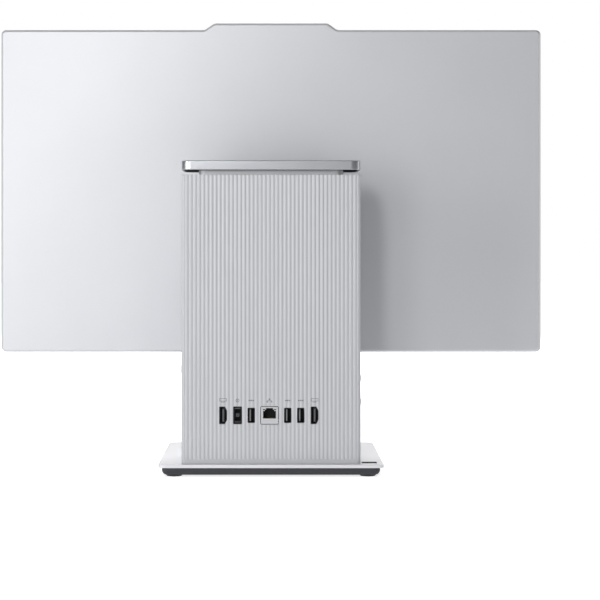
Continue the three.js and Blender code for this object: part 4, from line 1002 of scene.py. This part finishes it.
def contact_blade(kind, where):
    """A blade at the back of a mouth, with a row of contacts along one face."""
    back = -SHAPES[kind]["depth"]
    x, wide, tall, set_back = SHAPES[kind]["blade"]
    blade = block((x - wide / 2, -tall / 2, back + 0.05), (x + wide / 2, tall / 2, -set_back))
    # USB blades take the paler grey with a painted highlight, the others the same grey darkened as painted
    # shade.
    add_to(blades if kind == "usb" else shaded_blades, soften(blade, 0.2, 2, every), where)
    count, face = CONTACTS[kind], x + wide / 2
    half = tall / count / 5
    for i in range(count):
        z = (i - (count - 1) / 2) * (tall - 1.6) / (count - 1)
        strip = block((face - 0.05, z - half, back + 1), (face + 0.07, z + half, -set_back - 0.5))
        add_to(contacts, soften(strip, 0.03, 1, every), where)


print("contacts:", CONTACTS)

# %% [markdown]
# A socket's shell is sheet metal or plastic. The network socket's shield is bright only at its face: what
# lies deeper takes the black plastic of its lining.

# %% Socket shells
MOUTH_SHADE = 0.4
for node, kind, side in SOCKETS:
    shape = SHAPES[kind]
    low, high = span(node)
    back = low.y - high.y if side is REAR else low.x - high.x
    body = mouth(kind, 0, back, 0)
    where = socket_place(node, side)
    if kind == "network":
        network_mouth(body, where)
    else:
        combine(body, [mouth(kind, -shape["wall"], -shape["depth"], 1)])
        soften(body, 0.12, 1, lambda m, d: m.z > -0.001)
    bmesh.ops.transform(body, matrix=where, verts=body.verts)
    finish, slot = (tin, "steel") if kind in ("network", "small") else (black_plastic, "black_plastic")
    made = piece(node.replace("_port", "") + "_socket", body, finish, "stand", [node])
    if kind == "network":
        made.data.materials.append(black_plastic.material)
        for face in made.data.polygons:
            face.material_index = int(face.center.y < (high.y - MOUTH_SHADE) * MM)
    if kind == "power":
        power_pin(where)
    elif shape["blade"]:
        contact_blade(kind, where)
# The blades: a paler grey with a painted highlight, and the same grey darkened as painted shade.
piece("usb_blades", blades, highlit_blade_grey, "stand")
piece("shaded_blades", shaded_blades, shadow_grey, "stand")
piece("socket_contacts", contacts, gold, "stand")
piece("signal_windows", windows, milky, "stand")

# %% [markdown]
# ## Buttons
# Each button is a small turned cap with a shallow dish for the fingertip, a wider skirt that stops it
# falling out of its hole, and a plunger that meets its switch. One profile, spun about its axis, makes all
# of that at once.

# %% Turned buttons
BUTTON_PROUD = 0.9
SKIRT, SKIRT_WIDE, SKIRT_TALL = -SHELL_WALL - 0.1, 0.9, 1.3
PLUNGER, PLUNGER_TALL = 1.2, 1.0
for node, radius in BUTTONS.items():
    skirt_foot = SKIRT - SKIRT_TALL
    profile = [
        (0, BUTTON_PROUD - 0.25), (radius * 0.45, BUTTON_PROUD - 0.2), (radius * 0.75, BUTTON_PROUD - 0.04),
        (radius - 0.35, BUTTON_PROUD), (radius - 0.1, BUTTON_PROUD - 0.1), (radius, BUTTON_PROUD - 0.35),
        (radius, SKIRT), (radius + SKIRT_WIDE, SKIRT), (radius + SKIRT_WIDE, skirt_foot),
        (PLUNGER, skirt_foot), (PLUNGER, skirt_foot - PLUNGER_TALL), (0, skirt_foot - PLUNGER_TALL),
    ]
    name, body = node.replace("_button", "_cap"), node.replace("_button", "_key")
    made = turned(profile, button_place(node))
    piece(name, made, silver_plastic, body, [node])

# %% [markdown]
# ## Arm
# A cap of blasted aluminium closes the tower and carries the arm towards the display. It is a shallow tray
# turned upside down: round corners, a small radius along its edges, hollow underneath, with a mouth in its
# front for the arm's flat sleeve. Between cap and tower a painted collar hides the steel inside.

# %% Cap, collar and sleeve
cap_low, cap_high = span("arm_cap")
sleeve_low, sleeve_high = span("arm_sleeve")
CAP_WALL, CAP_CORNER, MOUTH_ROOF = 2.5, 9.0, 0.8
COLLAR_WALL, COLLAR_CORNER, SLEEVE_WALL = 3.0, 6.0, 1.6
cap = soften(like("arm_cap"), CAP_CORNER, 14, upright)
soften(cap, 0.8, 4, lambda m, d: abs(d.z) < 0.01)
cavity = like("arm_cap", (CAP_WALL, CAP_WALL, -1), (-CAP_WALL, -CAP_WALL, -CAP_WALL))
front_mouth = block(
    (sleeve_low.x - GAP, cap_low.y - 1, cap_low.z - 1),
    (sleeve_high.x + GAP, cap_low.y + 4, cap_high.z - MOUTH_ROOF),
)
combine(cap, [soften(cavity, CAP_CORNER - CAP_WALL, 10, upright), front_mouth])
piece("cap_tray", cap, aluminium, "stand", ["arm_cap"])

collar = soften(like("neck_cover"), COLLAR_CORNER, 10, upright)
bore = like("neck_cover", (COLLAR_WALL, COLLAR_WALL, -1), (-COLLAR_WALL, -COLLAR_WALL, 1))
combine(collar, [soften(bore, COLLAR_CORNER - COLLAR_WALL, 8, upright)])
piece("neck_collar", collar, silver_paint, "stand", ["neck_cover"])

sleeve = soften(like("arm_sleeve"), 2.0, 5, along_y)
soften(sleeve, 0.3, 2, end_of(sleeve, Y, -1))
tunnel = like("arm_sleeve", (SLEEVE_WALL, -1, SLEEVE_WALL), (-SLEEVE_WALL, 1, -SLEEVE_WALL))
combine(sleeve, [soften(tunnel, 1.0, 3, along_y)])
piece("arm_tube", sleeve, aluminium, "stand", ["arm_sleeve"])

# %% [markdown]
# ## Base
# The plate is thick sheet with a broken edge and a pearl paint. Under it sits a charcoal tray with a large
# radius along its lower edge, which lets the plate seem to float. The tray is hollow, because a steel weight
# fills it, and it has a shallow seat for each foot. A small plain inlay lies flush in the plate.

# %% Plate, tray, inlay
foot_nodes = ["foot_front_left", "foot_front_right", "foot_rear_left", "foot_rear_right"]
PLATE_CORNER, TRAY_CORNER, BADGE_CORNER = 6.0, 5.2, 0.8
TRAY_WALL, TRAY_FLOOR, BADGE_GAP = 6.5, 1.8, 0.15
SEAT_RADIUS, SEAT_DEPTH = 8.3, 2.4
plate = soften(like("base_plate"), PLATE_CORNER, 12, upright)
soften(plate, 0.7, 4, end_of(plate, Z, 1))
soften(plate, 0.35, 2, end_of(plate, Z, -1))
seat = like("base_badge", (-BADGE_GAP, -BADGE_GAP, -0.1), (BADGE_GAP, BADGE_GAP, 1))
combine(plate, [soften(seat, BADGE_CORNER, 4, upright)])
piece("top_plate", plate, pearl_paint, "stand", ["base_plate"])

tray = soften(like("base_tray"), TRAY_CORNER, 12, upright)
soften(tray, 4.7, 8, end_of(tray, Z, -1))
soften(tray, 0.3, 2, end_of(tray, Z, 1))
pocket = like("base_tray", (TRAY_WALL, TRAY_WALL, TRAY_FLOOR), (-TRAY_WALL, -TRAY_WALL, 1))
foot_seats = bmesh.new()
for node in foot_nodes:
    at = centre(node)
    rod(SEAT_RADIUS, SEAT_DEPTH, Matrix.Translation((at.x, at.y, SEAT_DEPTH / 2)), foot_seats)
combine(tray, [soften(pocket, 2.3, 4, upright), foot_seats])
piece("charcoal_tray", tray, dark_plastic, "stand", ["base_tray"])

badge = soften(like("base_badge"), BADGE_CORNER, 4, upright)
soften(badge, 0.1, 2, end_of(badge, Z, 1))
piece("plain_inlay", badge, inlay, "stand", ["base_badge"])

# %% [markdown]
# The feet are turned rubber pads. A ring-shaped groove in the sole lets each grip the desk, and a small
# radius keeps the edge from tearing.

# %% Feet
FOOT_TOP = 2.3
sole = [
    (0, 0.25), (2.6, 0.25), (2.9, 0.0), (4.4, 0.0), (4.6, 0.3), (5.4, 0.3), (5.6, 0.0), (6.8, 0.0),
    (7.15, 0.12), (7.3, 0.4), (8.0, FOOT_TOP - 0.1), (7.9, FOOT_TOP), (0, FOOT_TOP),
]
for node in foot_nodes:
    place = Matrix.Translation(centre(node) * Vector((1, 1, 0)))
    piece(node.replace("foot", "pad"), turned(sole, place), rubber, "stand", [node])

# %% [markdown]
# ## What the frame already has right
# The parts inside the display and the tower need no new shape: sheet steel, boards, fins, a fan. They show
# only through slots, so they keep their frame meshes and get finishes.

# %% Finishes for the frame's own parts
KEPT = [
    (dark_plastic, ["top_grille", "cap_underside"]),
    (steel, ["base_weight", "chassis_frame", "hinge_arm", "hinge_pin", "hinge_plate", "backlight_tray",
             "coin_cell"]),
    (copper, ["heat_spreader", "heat_pipe"]),
    (aluminium, ["heatsink_fins"]),
    (board, ["mainboard", "memory_module_1", "memory_module_2", "ssd_module", "wireless_card",
             "display_board"]),
    (chip_black, ["cpu_package", "camera_module"]),
    (black_plastic, ["fan_housing", "fan_rotor", "speaker_left", "speaker_right"]),
    (acrylic, ["light_guide"]),
]
for finish, nodes in KEPT:
    for node in nodes:
        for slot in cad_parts[node].material_slots:
            slot.material = finish.material
hidden = [name for name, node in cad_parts.items() if node.hide_render]
kept = [node for _, nodes in KEPT for node in nodes]
unfinished = set(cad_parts) - set(kept) - set(hidden)
print("kept:", len(kept), "replaced:", len(hidden), "unfinished:", unfinished)

# %% [markdown]
# ## Studio
# The floor and the sky look white but give little light, so that the shadows keep some depth: a Light Path
# node tells rays from the camera from all others, and only the camera's see the full white.

# %% Floor
FLOOR_LIGHT, FLOOR_NEAR, FLOOR_FAR = 0.45, 0.7, 0.98
FAR_FROM, FAR_TO = 700, 1500


def grey(level):
    return (level, level, level, 1.0)


floor = bmesh.new()
bmesh.ops.create_circle(floor, cap_ends=True, segments=96, radius=9000)
bmesh.ops.scale(floor, verts=floor.verts, vec=(MM, MM, MM))
ground = as_object(floor, "floor")
floor.free()
floor_white = Finish("studio floor", Roughness=0.9, Emission_Strength=1.0)
mottle = floor_white.noise(400, 2)
east, north, _ = floor_white.axes()
reach = (east * east + north * north).root()
far = ((reach - FAR_FROM) / (FAR_TO - FAR_FROM)).most(0.0).least(1.0)
in_view = floor_white.node("ShaderNodeLightPath")
glow = floor_white.mix(far, grey(FLOOR_NEAR), grey(FLOOR_FAR))
floor_white.lay(
    Base_Color=floor_white.mix(mottle, rgb(244, 244, 244), rgb(248, 248, 248)),
    Emission_Color=floor_white.mix(in_view, grey(FLOOR_LIGHT), glow),
)
ground.data.materials.append(floor_white.material)
ground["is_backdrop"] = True
print("floor:", len(floor_white.tree.nodes), "nodes")

# %% Sky
SKY_LIGHT, SKY_SEEN = 0.12, 1.0
sky = bpy.data.worlds.new("sky")
bpy.context.scene.world = sky
sky.use_nodes = True
nodes, links = sky.node_tree.nodes, sky.node_tree.links
path, choose = nodes.new("ShaderNodeLightPath"), nodes.new("ShaderNodeMixShader")
links.new(path.outputs["Is Camera Ray"], choose.inputs["Fac"])
shades = [(1, nodes["Background"], SKY_LIGHT), (2, nodes.new("ShaderNodeBackground"), SKY_SEEN)]
for socket, shade, strength in shades:
    shade.inputs["Color"].default_value = grey(1.0)
    shade.inputs["Strength"].default_value = strength
    links.new(shade.outputs["Background"], choose.inputs[socket])
links.new(choose.outputs["Shader"], nodes["World Output"].inputs["Surface"])
print("sky: gives", SKY_LIGHT, "and shows", SKY_SEEN)

# %% [markdown]
# A large soft box overhead lights the floor, the plate and the cap. The key light, behind the viewer's left
# shoulder, throws the tower's shadow on the display, and a lower one near it softens that shadow's foot. A
# broad light from the same side makes the display fade from left to right. One in front lights the screen's
# side, and a weak one at the right picks out the edges that would otherwise be lost.

# %% Lights
LIGHTS = {
    # name: place, point it faces, width and height, power
    "overhead": ((0.0, 0.3, 2.2), (0.0, 0.05, 0.0), (2.6, 2.0), 6.6),
    "key": ((0.37, 1.95, 0.8), (0.0, 0.0, 0.22), (0.2, 0.4), 6.8),
    "low key": ((0.75, 1.9, 0.25), (0.1, -0.05, 0.2), (0.35, 0.4), 3.9),
    "side": ((1.25, 0.95, 0.5), (0.1, -0.05, 0.25), (0.5, 0.9), 8.4),
    "front": ((0.0, -2.0, 1.2), (0.0, -0.05, 0.25), (1.6, 1.2), 27.0),
    "edge": ((-1.4, -0.25, 0.4), (-0.1, 0.0, 0.28), (0.5, 0.9), 2.0),
}
for name, (place, target, (wide, tall), power) in LIGHTS.items():
    lamp = bpy.data.lights.new(name, "AREA")
    lamp.shape, lamp.size, lamp.size_y, lamp.energy = "RECTANGLE", wide, tall, power
    light = bpy.data.objects.new(name, lamp)
    light.location = place
    light.rotation_euler = (Vector(target) - Vector(place)).to_track_quat("-Z", "Y").to_euler()
    bpy.context.scene.collection.objects.link(light)
print("lights:", ", ".join(LIGHTS))

# %% [markdown]
# ## Camera
# The camera stands level behind the computer, a little over a metre and a half away, at the height of the
# tower's upper half. It looks straight along the frame's depth, and a small shift frames the object.

# %% Camera and colour
lens = bpy.data.cameras.new("camera")
lens.lens, lens.sensor_width = 97.8, 36.0
lens.shift_x, lens.shift_y = 0.0483, -0.0833
camera = bpy.data.objects.new("camera", lens)
camera.location = (0.0, 1.582, 0.2086)
camera.rotation_euler = (math.pi / 2, 0.0, math.pi)
bpy.context.scene.collection.objects.link(camera)
bpy.context.scene.camera = camera
bpy.context.scene.view_settings.view_transform = "Standard"
print("camera at", tuple(camera.location))

# %% [markdown]
# ## Sizes
# The frame's box and the dressed object's box are printed before the script ends. The dressed object
# has to fit the frame's box.

# %% Print the sizes and finish
sizes = {"cad": [list(c) for c in cad_box], "visual": [list(c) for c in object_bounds()]}
for name, (low, high) in sizes.items():
    print(name, [round(v, 4) for v in low], [round(v, 4) for v in high])
